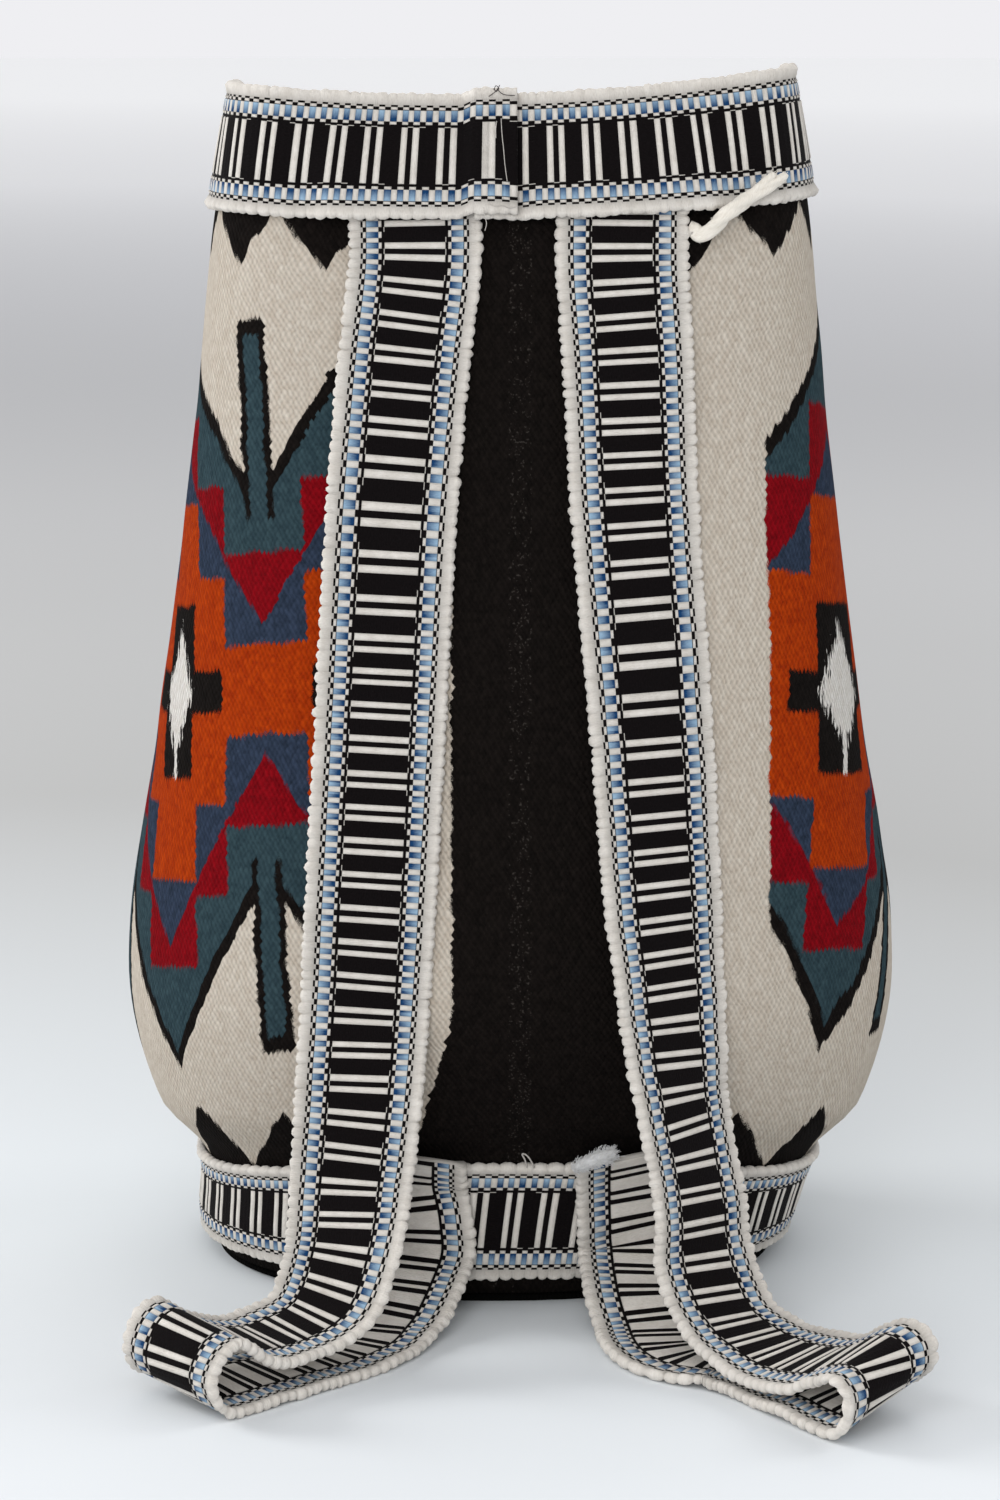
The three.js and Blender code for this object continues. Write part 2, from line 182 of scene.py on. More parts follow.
@functools.lru_cache(maxsize=None)
def ring_at(level, inset):
    """One level of the bag as a closed ring, from the middle of the back round by the right."""
    half, back, front = (measure_at(level, values) - inset for values in (HALF, BACK, FRONT))
    square = measure_at(level, SQUARE)
    rim = smooth((level - RIM_MOVES_FROM) / (BAG_HEIGHT - RIM_MOVES_FROM))
    if level < FOOT_BAND_TOP:
        slump = smooth(level / FOOT_BAND_TOP)
    else:
        slump = 1 - smooth((level - FOOT_BAND_TOP) / (SLUMP_ENDS - FOOT_BAND_TOP))
    turn = np.linspace(0, 2 * math.pi, RING_SAMPLES + 1)
    depth = np.where(np.cos(turn) > 0, back, front)
    deep = np.abs(np.cos(turn)) / depth
    wide = np.abs(np.sin(turn)) / half
    reach = (deep**square + wide**square) ** (-1 / square)
    x = reach * np.sin(turn)
    y = -reach * np.cos(turn)
    across, along = x / half, y / depth
    sag = np.where(along < 0, -along * RIM_SAG * (1 - across**2), along * RIM_FRONT_DROP)
    z = level + rim * (RIM_TILT * across - sag) + slump * SLUMP * (along**2 - across**2)
    points = np.stack([x + shift_at(level), y, z], axis=1)
    return points, distance_along(points)


def wall(turns, level, inset=0.0):
    """Points of the bag at one level. A turn is a share of the way round the cloth."""
    points, lengths = ring_at(round(float(level), 4), inset)
    at = (turns - np.floor(turns)) * lengths[-1]
    return np.stack([np.interp(at, lengths, points[:, k]) for k in range(3)], axis=1)


def ring_length(level):
    return ring_at(round(float(level), 4), 0.0)[1][-1]


def wall_normal(turns, level):
    level = min(level, BAG_HEIGHT)
    round_way = wall(turns + SLOPE_STEP, level) - wall(turns - SLOPE_STEP, level)
    up_way = wall(turns, min(level + 1, BAG_HEIGHT)) - wall(turns, level - 1)
    return unit(np.cross(round_way, up_way))


def back_at(x, level):
    """How far back the cloth reaches straight behind x, at one level."""
    across = min(abs(x - shift_at(level)) / measure_at(level, HALF), WIDEST_SHARE)
    square = measure_at(level, SQUARE)
    return measure_at(level, BACK) * (1 - across**square) ** (1 / square)


# Mesh making
TUBE_REFERENCE = [0.31, 0.17, 0.93]


def add_object(name, data):
    obj = bpy.data.objects.new(name, data)
    bpy.context.scene.collection.objects.link(obj)
    return obj


def new_mesh(name, points, polygons):
    """A smooth-shaded mesh. Points are in millimetres."""
    mesh = bpy.data.meshes.new(name)
    mesh.from_pydata((points.reshape(-1, 3) * MM).tolist(), [], polygons)
    mesh.polygons.foreach_set("use_smooth", np.ones(len(polygons), bool))
    return mesh


def mesh_object(name, mesh):
    mesh.validate()
    mesh.update()
    return add_object(name, mesh)


def grid_mesh(name, points, uvs, loop=False, face_slots=None, caps=False):
    """A closed skin over rows of points that each run round in a ring. Points are in millimetres.
    Every uv array has one more column than points, for the face that closes the ring."""
    rows, columns = points.shape[:2]
    count = rows if loop else rows - 1
    i, j = np.meshgrid(np.arange(count), np.arange(columns), indexing="ij")
    next_i = (i + 1) % rows
    ring = [(i, j), (i, j + 1), (next_i, j + 1), (next_i, j)]
    quads = np.stack([row * columns + column % columns for row, column in ring], axis=-1)
    corners = np.stack([np.stack(corner, axis=-1) for corner in ring], axis=-2)
    flat = points.reshape(-1, 3)
    a, b, c, d = (flat[quads[..., k]] for k in range(4))
    volume = np.sum(np.cross(b - a, c - a) * a) + np.sum(np.cross(c - a, d - a) * a)
    order = [0, 1, 2, 3] if volume > 0 else [3, 2, 1, 0]
    quads = quads[..., order].reshape(-1, 4)
    corners = corners[..., order, :].reshape(-1, 2)
    polygons = quads.tolist()
    if caps:
        first = list(range(columns))
        last = list(range((rows - 1) * columns, rows * columns))
        polygons += [first[::-1], last] if volume > 0 else [first, last[::-1]]
    mesh = new_mesh(name, points, polygons)
    for uv_name, uv in uvs.items():
        layer = mesh.uv_layers.new(name=uv_name)
        values = np.zeros((len(mesh.loops), 2), np.float32)
        values[: len(corners)] = uv[corners[:, 0], corners[:, 1]]
        layer.data.foreach_set("uv", values.ravel())
    if face_slots is not None:
        slots = np.zeros(len(polygons), np.int32)
        slots[: len(quads)] = face_slots.ravel()
        mesh.polygons.foreach_set("material_index", slots)
    return mesh_object(name, mesh)


def tube_rings(path, radius, sides):
    """Rings of points round a path. Radius is one number, or one for each ring or each point."""
    path = np.asarray(path, float)
    along = unit(np.gradient(path, axis=0))
    side = unit(np.cross(along, TUBE_REFERENCE))
    other = np.cross(along, side)
    turn = np.arange(sides) * 2 * math.pi / sides
    radius = np.asarray(radius, float)
    if radius.ndim < 2:
        radius = np.broadcast_to(radius, (len(path),))[:, None]
    offset = side[:, None] * np.cos(turn)[None, :, None] + other[:, None] * np.sin(turn)[None, :, None]
    return path[:, None] + radius[..., None] * offset


def tubes_mesh(name, paths, radii, sides=6):
    """Several closed tubes in one mesh. Paths are in millimetres."""
    points, polygons, start = [], [], 0
    for path, radius in zip(paths, radii):
        rings = tube_rings(path, radius, sides)
        points.append(rings.reshape(-1, 3))
        last = start + (len(rings) - 1) * sides
        for a in range(start, last, sides):
            b = a + sides
            for j in range(sides):
                k = (j + 1) % sides
                polygons.append((a + j, a + k, b + k, b + j))
        polygons.append(tuple(range(start + sides - 1, start - 1, -1)))
        polygons.append(tuple(range(last, last + sides)))
        start = last + sides
    return mesh_object(name, new_mesh(name, np.concatenate(points), polygons))


def place(obj, node, materials):
    for material in materials:
        obj.data.materials.append(material)
    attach(obj, "root")
    if node:
        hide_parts(node)
    return obj


# Shader terms
def linear(code):
    """A colour written as six hex digits, as the shader needs it."""
    values = [int(code[k : k + 2], 16) / 255 for k in (0, 2, 4)]
    return [v / 12.92 if v <= 0.04045 else ((v + 0.055) / 1.055) ** 2.4 for v in values] + [1.0]


class Term:
    """A number in a shader that takes part in sums and comparisons as an ordinary one does."""

    def __init__(self, socket):
        self.socket = socket

    def worked(self, operation, *others):
        inputs = dict(enumerate((self, *others)))
        return Term(add_node(self.socket, "ShaderNodeMath", inputs, operation=operation).outputs[0])

    def __rsub__(self, other):
        return self * -1 + other

    def past(self, mark):
        """How far past a mark this is, or 0."""
        return (self - mark).at_least(0)

    def clamp(self):
        return self.at_most(1).at_least(0)

    def wave(self):
        """A wave from -1 to 1 that peaks at each whole number."""
        return (self * (2 * math.pi)).cosine()

    def apart(self, first, period):
        """Distance to the nearest of the marks that stand a period apart from first."""
        return abs(((self - first) / period + 0.5).fract() - 0.5) * period


TERM_OPERATIONS = {
    "ADD": ("__add__", "__radd__"),
    "SUBTRACT": ("__sub__",),
    "MULTIPLY": ("__mul__", "__rmul__", "__and__"),
    "DIVIDE": ("__truediv__",),
    "POWER": ("__pow__",),
    "ABSOLUTE": ("__abs__",),
    "LESS_THAN": ("__lt__",),
    "GREATER_THAN": ("__gt__",),
    "MINIMUM": ("at_most",),
    "MAXIMUM": ("at_least", "__or__"),
    "FLOOR": ("floor",),
    "FRACT": ("fract",),
    "COSINE": ("cosine",),
}
for operation, methods in TERM_OPERATIONS.items():
    for method in methods:
        setattr(Term, method, functools.partialmethod(Term.worked, operation))


def feed(node, inputs):
    """Gives a node's inputs their values: numbers, colour codes, Terms or other nodes' outputs."""
    for key, value in inputs.items():
        slot = node.inputs[key]
        if isinstance(value, str):
            slot.default_value = linear(value)
        elif isinstance(value, (int, float)):
            slot.default_value = float(value)
        else:
            node.id_data.links.new(value.socket if isinstance(value, Term) else value, slot)


def add_node(beside, kind, inputs, **settings):
    """A new node in the tree that another node or socket is in."""
    node = beside.id_data.nodes.new(kind)
    for name, value in settings.items():
        setattr(node, name, value)
    feed(node, inputs)
    return node


def parts_of(vector):
    """The x, y and z of a node's output."""
    return [Term(part) for part in add_node(vector, "ShaderNodeSeparateXYZ", {0: vector}).outputs]


def texture(kind, x, y, **inputs):
    """What a texture gives at x and y."""
    at = add_node(x.socket, "ShaderNodeCombineXYZ", {0: x, 1: y}).outputs[0]
    return Term(add_node(x.socket, kind, {"Vector": at, **inputs}).outputs[0])


def spot(x, y):
    """A random number from 0 to 1, the same for the same whole numbers."""
    return texture("ShaderNodeTexWhiteNoise", x, y)


def noise(x, y, scale, detail=2):
    """Soft noise from 0 to 1. Scale is in repeats for each unit of x and y."""
    return texture("ShaderNodeTexNoise", x, y, Scale=scale, Detail=detail)


def stray(x, y, scale, most):
    """Soft noise either side of 0."""
    return (noise(x, y, scale) - 0.5) * most


def share_of(middle, *parts):
    """A share from 0 to 1: a middle one, moved by parts from 0 to 1 by their weights."""
    for part, weight in parts:
        middle = (part - 0.5) * weight + middle
    return middle.clamp()


def blend(share, low, high):
    """The colour that lies share of the way from low to high."""
    inputs = {0: share, 6: low, 7: high}
    return add_node(share.socket, "ShaderNodeMix", inputs, data_type="RGBA").outputs[2]


def toned(colour, factor):
    """A colour made lighter or darker by a factor."""
    inputs = {0: colour, "Scale": factor}
    return add_node(colour, "ShaderNodeVectorMath", inputs, operation="SCALE").outputs[0]


def new_material(name, inputs):
    """A material and its shader, with some of the shader's inputs set."""
    material = bpy.data.materials.new(name)
    material.use_nodes = True
    shader = material.node_tree.nodes["Principled BSDF"]
    feed(shader, inputs)
    return material, shader


CLOTH_SPECULAR, SHEEN_ROUGHNESS = 0.03, 0.45


class Cloth:
    """A fabric material under construction."""

    def __init__(self, name, roughness, sheen):
        self.material, self.shader = new_material(name, {"Roughness": roughness, "Sheen Weight": sheen})
        feed(self.shader, {"Specular IOR Level": CLOTH_SPECULAR, "Sheen Roughness": SHEEN_ROUGHNESS})

    def uv(self, name):
        node = add_node(self.shader, "ShaderNodeUVMap", {}, uv_map=name)
        return parts_of(node.outputs[0])[:2]

    def finish(self, colour, height, depth):
        """Joins the colour and the relief to the shader. Height is from 0 to 1, depth in millimetres."""
        bump = add_node(self.shader, "ShaderNodeBump", {"Distance": depth * MM, "Height": height})
        feed(self.shader, {"Normal": bump.outputs[0], "Base Color": colour})
        return self.material


# Tapestry: sizes in millimetres on the cloth, across from the middle of the back and up.
# WANDER and DRIFT each hold the scale of a stray and its most.
FLOAT_WIDE, FLOAT_HIGH, FLOAT_STRAY = 2.12, 3.5, 0.5
FIBRE_SCALE, FIBRE_STRAY = 2.4, 2.0
WANDER, DRIFT = (0.11, 3.0), (0.05, 2.0)
EDGE_SOFT = 0.32
PATCH_SCALE, PATCH_STRETCH, PATCH_WEIGHT, FLOAT_WEIGHT, MOTTLE_MIDDLE = 0.3, 1.3, 1.0, 0.45, 0.6
FALLING_SHARE, RISING_SHARE = 0.62, 0.38
# How far the painted shade between floats and the fibre's random tone move the colour.
WEAVE_SHADE, FIBRE_SHADE, MEAN_TONE = 0.16, 0.16, 0.97
WEAVE_DEPTH = 0.5
WOOL_ROUGHNESS = 0.95

# Yarns, each with its dark and its light tone.
CREAM = ("b1a495", "c8bfb2")
BLACK_WOOL = ("0b0908", "191513")
ORANGE = ("822106", "ac3c0a")
RED = ("5c060d", "840a14")
TEAL = ("213037", "35484e")
BLUE = ("1d2531", "333e51")
WHITE = ("bdb6ad", "d8d5d0")
FLECK = "6a645e"

# Motif: a cross with an eye, in stepped and pointed bands that repeat round the bag.
MOTIF_LEVEL = 223.0
MOTIF_LEFT, MOTIF_RIGHT, RIGHT_EDGE_LEAN = 60.0, 95.5, 0.035
CROSS_AXIS, HALF_REPEAT = 141.0, 51.0
DROOP, DROOP_FROM, DROOP_TO = 0.14, 123.0, 160.0
INNER_STEP, OUTER_STEP = 18.0, 34.5
RED_STEPS, ORANGE_STEPS = (48.0, 24.5, 25.5), (16.0, 24.0, 27.0)
SLANT = 1.35
BLACK_REACH, TEAL_REACH, BLUE_REACH = 67.0, 60.0, 22.5
CROSS_POST, CROSS_BAR = (13.0, 31.0), (31.0, 7.3)
EYE_HALF, EYE_TAPER, EYE_STRAY = 12.5, 0.55, 2.0
EYE_FLAME, FLAME_ACROSS, FLAME_UP = 14.0, 0.9, 0.1
TAIL_HALF, TAIL_FLAME = 1.3, 0.2
BLACK_STEM, TEAL_STEM = (6.7, 60.0, 132.0), (3.8, 54.0, 126.0)

# How the motif at each side differs on the cloth. A lean has its start, full, ends and rate.
LEFT_INSET = 0.8
INSET_ABOVE, INSET_ABOVE_RATE = 32.0, 0.04
INSET_BELOW, INSET_BELOW_RATE = 38.0, 0.06
LEFT_LEAN, LEFT_LEAN_RATE = (115.0, 150.0, 160.0, 0.35), 0.009
LEFT_LEANS_ABOVE, LEFT_LEANS_FOR = 262.0, 45.0
RIGHT_LEAN, RIGHT_LEAN_RATE = (MOTIF_RIGHT, 131.0, 192.0, 0.3), 0.0096
RIGHT_LEANS_BELOW = 182.7
RIGHT_START = -32.5
RIGHT_SPREAD = [(95.5, 104.0, 0.18), (104.0, 121.0, 1.06), (121.0, 162.0, 0.634), (162.0, 192.0, 1.27)]
RIGHT_SLANT_FROM, RIGHT_SLANT_RATE, RIGHT_SLANT_START = 92.5, 0.74, 12.7
RIGHT_TALLER, RIGHT_SHORTER = 0.04, 0.074
OUTLINE_SPREAD = 0.06

# Black points at mouth and foot, and the black panel at the back.
TOP_TIPS, TOP_TIP_FIRST, TOP_TIP_REPEAT, TOP_TIPS_FROM = 378.0, 65.0, 34.5, 50.0
TOP_TIP_RIGHT, TOP_TIP_FLATTER, TOP_TIP_DEEP, TOP_TIP_DEEPENS = 5.0, 0.25, 77.0, 0.3
FOOT_TIPS, FOOT_TIP_FIRST, FOOT_TIP_REPEAT, FOOT_TIPS_FROM = 71.5, 85.0, 39.5, 70.0
TIP_SLANT = 1.25
TIP_LEAN_TO, TIP_LEAN_OVER = 115.0, 60.0
PANEL_LEFT, PANEL_RIGHT, PANEL_SEAM = -21.0, 42.0, 3.0
PANEL_WIDENS_BELOW, PANEL_LEFT_RATE, PANEL_RIGHT_RATE = 110.0, 0.25, 0.75
FLECK_HALF, FLECK_SCALE, FLECK_FROM, FLECK_SHARE = 4.0, 1.1, 0.62, 0.2

# The cloth is at its true width as far as TRUE_TO. The far side takes up what is over.
CLOTH_HALF = CROSS_AXIS + 5 * HALF_REPEAT
TRUE_TO = 175.0


class Weft:
    """The slanting floats of the tapestry: where each lies on the cloth, and the wool's own detail."""

    def __init__(self, u, level):
        across = (u + stray(u, level, *WANDER)) / FLOAT_WIDE
        up = (level + stray(level, u, *WANDER)) / FLOAT_HIGH
        self.u, self.level = u, level
        self.falling, self.rising = across + up, across - up
        column, row = (self.falling + 0.5).floor(), (self.rising + 0.5).floor()
        self.cell = spot(column, row)
        self.fibre = noise(u, level * 2, FIBRE_SCALE, 3)
        loose = (self.fibre - 0.5) * FIBRE_STRAY
        drift = stray(u, level, *DRIFT)
        float_across = mix((column + row) / 2, across, EDGE_SOFT) * FLOAT_WIDE
        self.across = float_across + (self.cell - 0.5) * FLOAT_STRAY + loose + drift
        self.z = mix((column - row) / 2, up, EDGE_SOFT) * FLOAT_HIGH + loose * 2 + drift
        self.side, self.left = abs(self.across), self.across < 0
        self.right = 1 - self.left
        patch = noise(u, level * PATCH_STRETCH, PATCH_SCALE, 3)
        self.mottle = share_of(MOTTLE_MIDDLE, (patch, PATCH_WEIGHT), (self.cell, FLOAT_WEIGHT))


def lean(side, start, full, ends, rate):
    """How much of a lean there is: it grows from start to full, and past ends it is given up again."""
    return (side.at_most(full) - start - side.past(ends) * rate).at_least(0)


def left_across(weft):
    """Places across the left motif, which is inset a little and leans near its top."""
    rise = weft.z - MOTIF_LEVEL
    inset = rise.past(INSET_ABOVE) * INSET_ABOVE_RATE + LEFT_INSET
    inset = inset + (rise + INSET_BELOW).at_most(0) * INSET_BELOW_RATE
    above = weft.z.past(LEFT_LEANS_ABOVE).at_most(LEFT_LEANS_FOR)
    return weft.side - inset - lean(weft.side, *LEFT_LEAN) * above * LEFT_LEAN_RATE


def right_across(right_side):
    """Places across the right motif, whose stretches are wider or narrower than the left one's."""
    across = right_side.past(RIGHT_SPREAD[-1][1]) + (CROSS_AXIS + RIGHT_START)
    for start, end, rate in RIGHT_SPREAD:
        across = across + right_side.past(start).at_most(end - start) * rate
    return across


def motif_areas(weft):
    """The areas of the motif from its outline in, each with its yarn. A later one covers the earlier."""
    side, z = weft.side, weft.z
    below = (RIGHT_LEANS_BELOW - z).at_least(0) * weft.right
    right_side = side + lean(side, *RIGHT_LEAN) * below * RIGHT_LEAN_RATE
    across = mix(right_across(right_side), left_across(weft), weft.left)
    off_axis = across.apart(CROSS_AXIS, 2 * HALF_REPEAT)
    inward = HALF_REPEAT - off_axis
    right_slant = (right_side - RIGHT_SLANT_FROM) * RIGHT_SLANT_RATE + RIGHT_SLANT_START
    slant = inward.at_most(right_slant + weft.left * CLOTH_HALF) * SLANT
    drooped = z + (side.at_most(DROOP_TO) - DROOP_FROM) * DROOP - MOTIF_LEVEL
    taller = weft.right * ((z > MOTIF_LEVEL) * (RIGHT_TALLER + RIGHT_SHORTER) - RIGHT_SHORTER)
    off_level = abs(drooped) * (1 - taller)
    flame = stray(weft.u * FLAME_ACROSS, weft.level * FLAME_UP, 1.0, EYE_FLAME)
    eye = EYE_HALF - off_level * EYE_TAPER + flame + (weft.cell - 0.5) * EYE_STRAY
    tail = (off_axis < flame * TAIL_FLAME + TAIL_HALF) & (off_level < CROSS_POST[1]) & (drooped < 0)

    def stepped(base, inner_rise, outer_rise):
        return (inward > INNER_STEP) * inner_rise + (inward > OUTER_STEP) * outer_rise + base

    def within(half_wide, half_high):
        return (off_axis < half_wide) & (off_level < half_high)

    def stem(half_wide, start, end):
        return (inward < half_wide) & (off_level > start) & (off_level < end)

    areas = [
        (off_level < slant + below * OUTLINE_SPREAD + BLACK_REACH, BLACK_WOOL),
        (off_level < slant + TEAL_REACH, TEAL),
        (off_level < stepped(*RED_STEPS), RED),
        (off_level < slant + BLUE_REACH, BLUE),
        (off_level < stepped(*ORANGE_STEPS), ORANGE),
        (within(*CROSS_POST) | within(*CROSS_BAR), BLACK_WOOL),
        ((off_axis < eye) | tail, WHITE),
        (stem(*BLACK_STEM), BLACK_WOOL),
        (stem(*TEAL_STEM), TEAL),
    ]
    right_edge = MOTIF_RIGHT - z.past(MOTIF_LEVEL) * RIGHT_EDGE_LEAN
    motif = (side > right_edge) | (weft.left & (side > MOTIF_LEFT))
    return [(area & motif, tones) for area, tones in areas]


def upright(weft):
    """Places round the foot. Those at the sides and the front follow the bag's upright, not the cloth's."""
    narrow, wide = ring_length(FOOT_BAND_TOP) / 2, ring_length(FOOT_TIPS) / 2
    half_ring = (weft.z - FOOT_BAND_TOP) * ((wide - narrow) / (FOOT_TIPS - FOOT_BAND_TOP)) + narrow
    gathered = weft.side.past(TRUE_TO) * (half_ring - TRUE_TO) / (CLOTH_HALF - TRUE_TO)
    share = ((weft.side - TIP_LEAN_TO) / TIP_LEAN_OVER).clamp()
    return (weft.side.at_most(TRUE_TO) + gathered) * (1 - share * (1 - half_ring**-1 * narrow))


def tips(weft):
    """The black points that hang from the mouth edging and stand on the foot edging."""
    side, z, right = weft.side, weft.z, weft.right
    hung = (side + right * TOP_TIP_RIGHT).apart(TOP_TIP_FIRST, TOP_TIP_REPEAT)
    deeper = (TOP_TIP_DEEP - side).at_least(0) * right * TOP_TIP_DEEPENS
    top_edge = hung * (TIP_SLANT - right * TOP_TIP_FLATTER) + TOP_TIPS - deeper
    foot_edge = FOOT_TIPS - upright(weft).apart(FOOT_TIP_FIRST, FOOT_TIP_REPEAT) * TIP_SLANT
    return (z > top_edge) & (side > TOP_TIPS_FROM) | (z < foot_edge) & (side > FOOT_TIPS_FROM)


def back_panel(weft):
    wider = (PANEL_WIDENS_BELOW - weft.z).at_least(0)
    past_left = weft.across > PANEL_LEFT - wider * PANEL_LEFT_RATE
    return past_left & (weft.across < wider * PANEL_RIGHT_RATE + PANEL_RIGHT)


def tapestry():
    """Weft-faced wool: slanting floats, each of one yarn, so that every edge is toothed."""
    cloth = Cloth("tapestry_wool", WOOL_ROUGHNESS, sheen=0.0)
    weft = Weft(*cloth.uv("cloth"))
    panel = back_panel(weft)
    colour = blend(weft.mottle, *CREAM)
    for area, tones in motif_areas(weft) + [(panel | tips(weft), BLACK_WOOL)]:
        colour = blend(area, colour, blend(weft.mottle, *tones))
    speckled = (noise(weft.u, weft.level, FLECK_SCALE, 1) > FLECK_FROM) & (weft.cell > 0.5)
    flecks = (abs(weft.u - PANEL_SEAM) < FLECK_HALF) & speckled & panel
    colour = blend(flecks * FLECK_SHARE, colour, FLECK)
    # Painted shade: the colour is darker in the grooves between floats, besides the bump there.
    weave = weft.falling.wave() * FALLING_SHARE + weft.rising.wave() * RISING_SHARE
    tone = weave * WEAVE_SHADE + (weft.fibre - 0.5) * FIBRE_SHADE + MEAN_TONE
    return cloth.finish(toned(colour, tone), (weave + weft.fibre + 1) / 2, WEAVE_DEPTH)


# Other fabrics, each with its dark and its light tone.
# The sole is black wool, made darker than the tapestry's black yarn: painted shade for the shadow under the
# bag.
SOLE_SHADED_TONES, SOLE_WEAVE = ("030303", "0a0908"), 1.5
BELT_CREAM = ("bab2a8", "e3ded7")
BELT_BLACK = ("040303", "171314")
BELT_BLUE = ("163a63", "93afc6")
# Painted shade in the belts' hollows, set by how full each place is.
HOLLOW_SHADE_TONE, HOLLOW_RISE, HOLLOW_CURVE, HOLLOW_LEAST = 0.62, 0.4, 0.6, 0.02
STREAKS_ALONG, STREAKS_ACROSS = 300.0, 1800.0


def plain_wool(name, tones):
    cloth = Cloth(name, WOOL_ROUGHNESS, sheen=0.0)
    u, v = cloth.uv("cloth")
    weave, cross = ((way / SOLE_WEAVE).fract() * 2 - 1 for way in (u, v))
    height = (1 - weave**2) * (1 - cross**2)
    # Painted shade: the colour is darker between the weave's cells, where the bump is low, besides the
    # random noise.
    share = share_of(0.55, (noise(u, v, 0.6, 4), 0.8), (height, 0.3))
    return cloth.finish(blend(share, *tones), height, 0.5)


def painted_hollow_shade(cloth):
    """Painted shade: darker in the hollows between beads and between picks, where shade falls."""
    fullness, _ = cloth.uv("relief")
    return (fullness + HOLLOW_LEAST) ** HOLLOW_CURVE * HOLLOW_RISE + HOLLOW_SHADE_TONE


def belt_cream():
    """Cotton weft: thick soft yarn with strands along it."""
    cloth = Cloth("belt_cream", roughness=0.85, sheen=0.08)
    w, a = cloth.uv("belt")
    strand = noise(w / 4, a, 2.6, 3)
    share = share_of(0.62, (strand, 0.7), (noise(w, a, 0.18, 3), 0.9))
    # The cotton is darkened by painted shade in its hollows.
    return cloth.finish(toned(blend(share, *BELT_CREAM), painted_hollow_shade(cloth)), strand, 0.6)


def belt_black():
    """Black warp floats: fine threads along the belt."""
    cloth = Cloth("belt_black", roughness=0.8, sheen=0.02)
    w, a = cloth.uv("belt")
    thread = noise(w, a * 0.3, 2.4)
    share = share_of(0.5, (thread, 0.7), (noise(w, a, 1.7), 0.5))
    return cloth.finish(blend(share, *BELT_BLACK), thread, 0.3)


def belt_blue():
    """Dyed cotton blocks, lighter towards the selvage."""
    cloth = Cloth("belt_blue", roughness=0.8, sheen=0.05)
    w, a = cloth.uv("belt")
    outward = (abs(w) - BLOCK_INNER) / (BLOCK_OUTER - BLOCK_INNER)
    block = spot((a / CYCLE).floor(), (w > 0) * 5)
    strand = noise(w * 0.3, a, 2.6)
    share = share_of(0.425, (outward, 0.95), (block, 0.45), (strand, 0.5))
    # The blue is darkened by painted shade in its hollows.
    return cloth.finish(toned(blend(share, *BELT_BLUE), painted_hollow_shade(cloth)), strand, 0.3)


def loose_wool(name, tones, sheen):
    """Unspun fibre, streaked along a slant."""
    cloth = Cloth(name, roughness=0.9, sheen=sheen)
    x, y, z = parts_of(add_node(cloth.shader, "ShaderNodeTexCoord", {}).outputs["Object"])
    strand = noise((x + z) * STREAKS_ALONG, (z - x - y) * STREAKS_ACROSS, 1.0, 3)
    return cloth.finish(blend(strand, *tones), strand, 0.4)


# Belt weave: places across the web, counted from the middle, with what is woven up to each.
CYCLE = 4.0
BLUE_SHARE = 0.53
PICK_SAMPLES = 3
PICKS_VARY = 0.05
WEB_EDGE = BELT_WIDTH / 2 - SELVAGE_WIDTH
LADDER_EDGE = 10.5
LINK_INNER, BLOCK_INNER, BLOCK_MIDDLE, BLOCK_OUTER, LINK_OUTER = 12.05, 12.6, 14.7, 16.8, 17.45
BLOCK_ROUNDING = 0.3
HALF_WEB = [
    (LADDER_EDGE, "rung"),
    (10.8, "tick"),
    (11.5, "line"),
    (LINK_INNER, "link"),
    (BLOCK_INNER, "link"),
    (BLOCK_INNER + BLOCK_ROUNDING, "block"),
    (BLOCK_MIDDLE, "block"),
    (BLOCK_OUTER - BLOCK_ROUNDING, "block"),
    (BLOCK_OUTER, "block"),
    (16.98, "line"),
    (LINK_OUTER, "link"),
    (18.0, "link"),
    (WEB_EDGE, "hook"),
]
RAISED_LINKS = (LINK_INNER, LINK_OUTER)
RUNG_PLACES = [-10.1, -5.0, 0.0, 5.0, 10.1]
TICK_SHARE = 0.5
CREAM_SLOT, BLACK_SLOT, BLUE_SLOT = 0, 1, 2

# Belt relief: the web's heights are shares of RELIEF.
WEB_HALF_THICK = 1.0
RELIEF = 0.42
FACE_BAR, FACE_GROUND = 1.0, 0.3
BACK_BAR, BACK_GROUND, BACK_DOME = 0.25, 0.8, 0.1
LINK_HIGH, LINK_LOW, BLOCK_HIGH = 1.0, 0.5, 0.85
FLOOR_TOUCH = 0.08

# Beads of the selvages: how long one is, and how full the neck between two is.
FINE_BEADS, SMALL_BEADS, ROUND_BEADS, LONG_BEADS = (3.3, 0.76), (4.0, 0.66), (3.8, 0.46), (5.2, 0.5)
LENGTHS_VARY, SIZES_VARY, NECKS_VARY = 0.13, 0.08, 0.07
SPARE_BEADS = 20
BEAD_RADIUS = SELVAGE_WIDTH / 2
BEAD_TURNS = 9
BEAD_FULL, BEAD_WIDE, BEAD_PROUD = 1.06, 1.08, 0.3
BEAD_FUZZ = 0.035
BEAD_HOLLOW = 0.4

# Belt styles: loose is where the weave is loose, what that adds to a cycle and how far it reaches.
# last_bar is how far before the end the plain stretch starts, and its one bar starts and ends.
Style = collections.namedtuple("Style", "loose right_beads left_beads last_bar")
MOUTH = Style((665.0, 0.8, 25.0), FINE_BEADS, SMALL_BEADS, (13.4, 11.4, 7.3))
FOOT = Style((0.0, 0.0, 1.0), LONG_BEADS, ROUND_BEADS, None)
LEFT = Style((108.0, 1.8, 27.0), ROUND_BEADS, ROUND_BEADS, None)
RIGHT = Style((158.0, 1.75, 30.0), ROUND_BEADS, ROUND_BEADS, None)


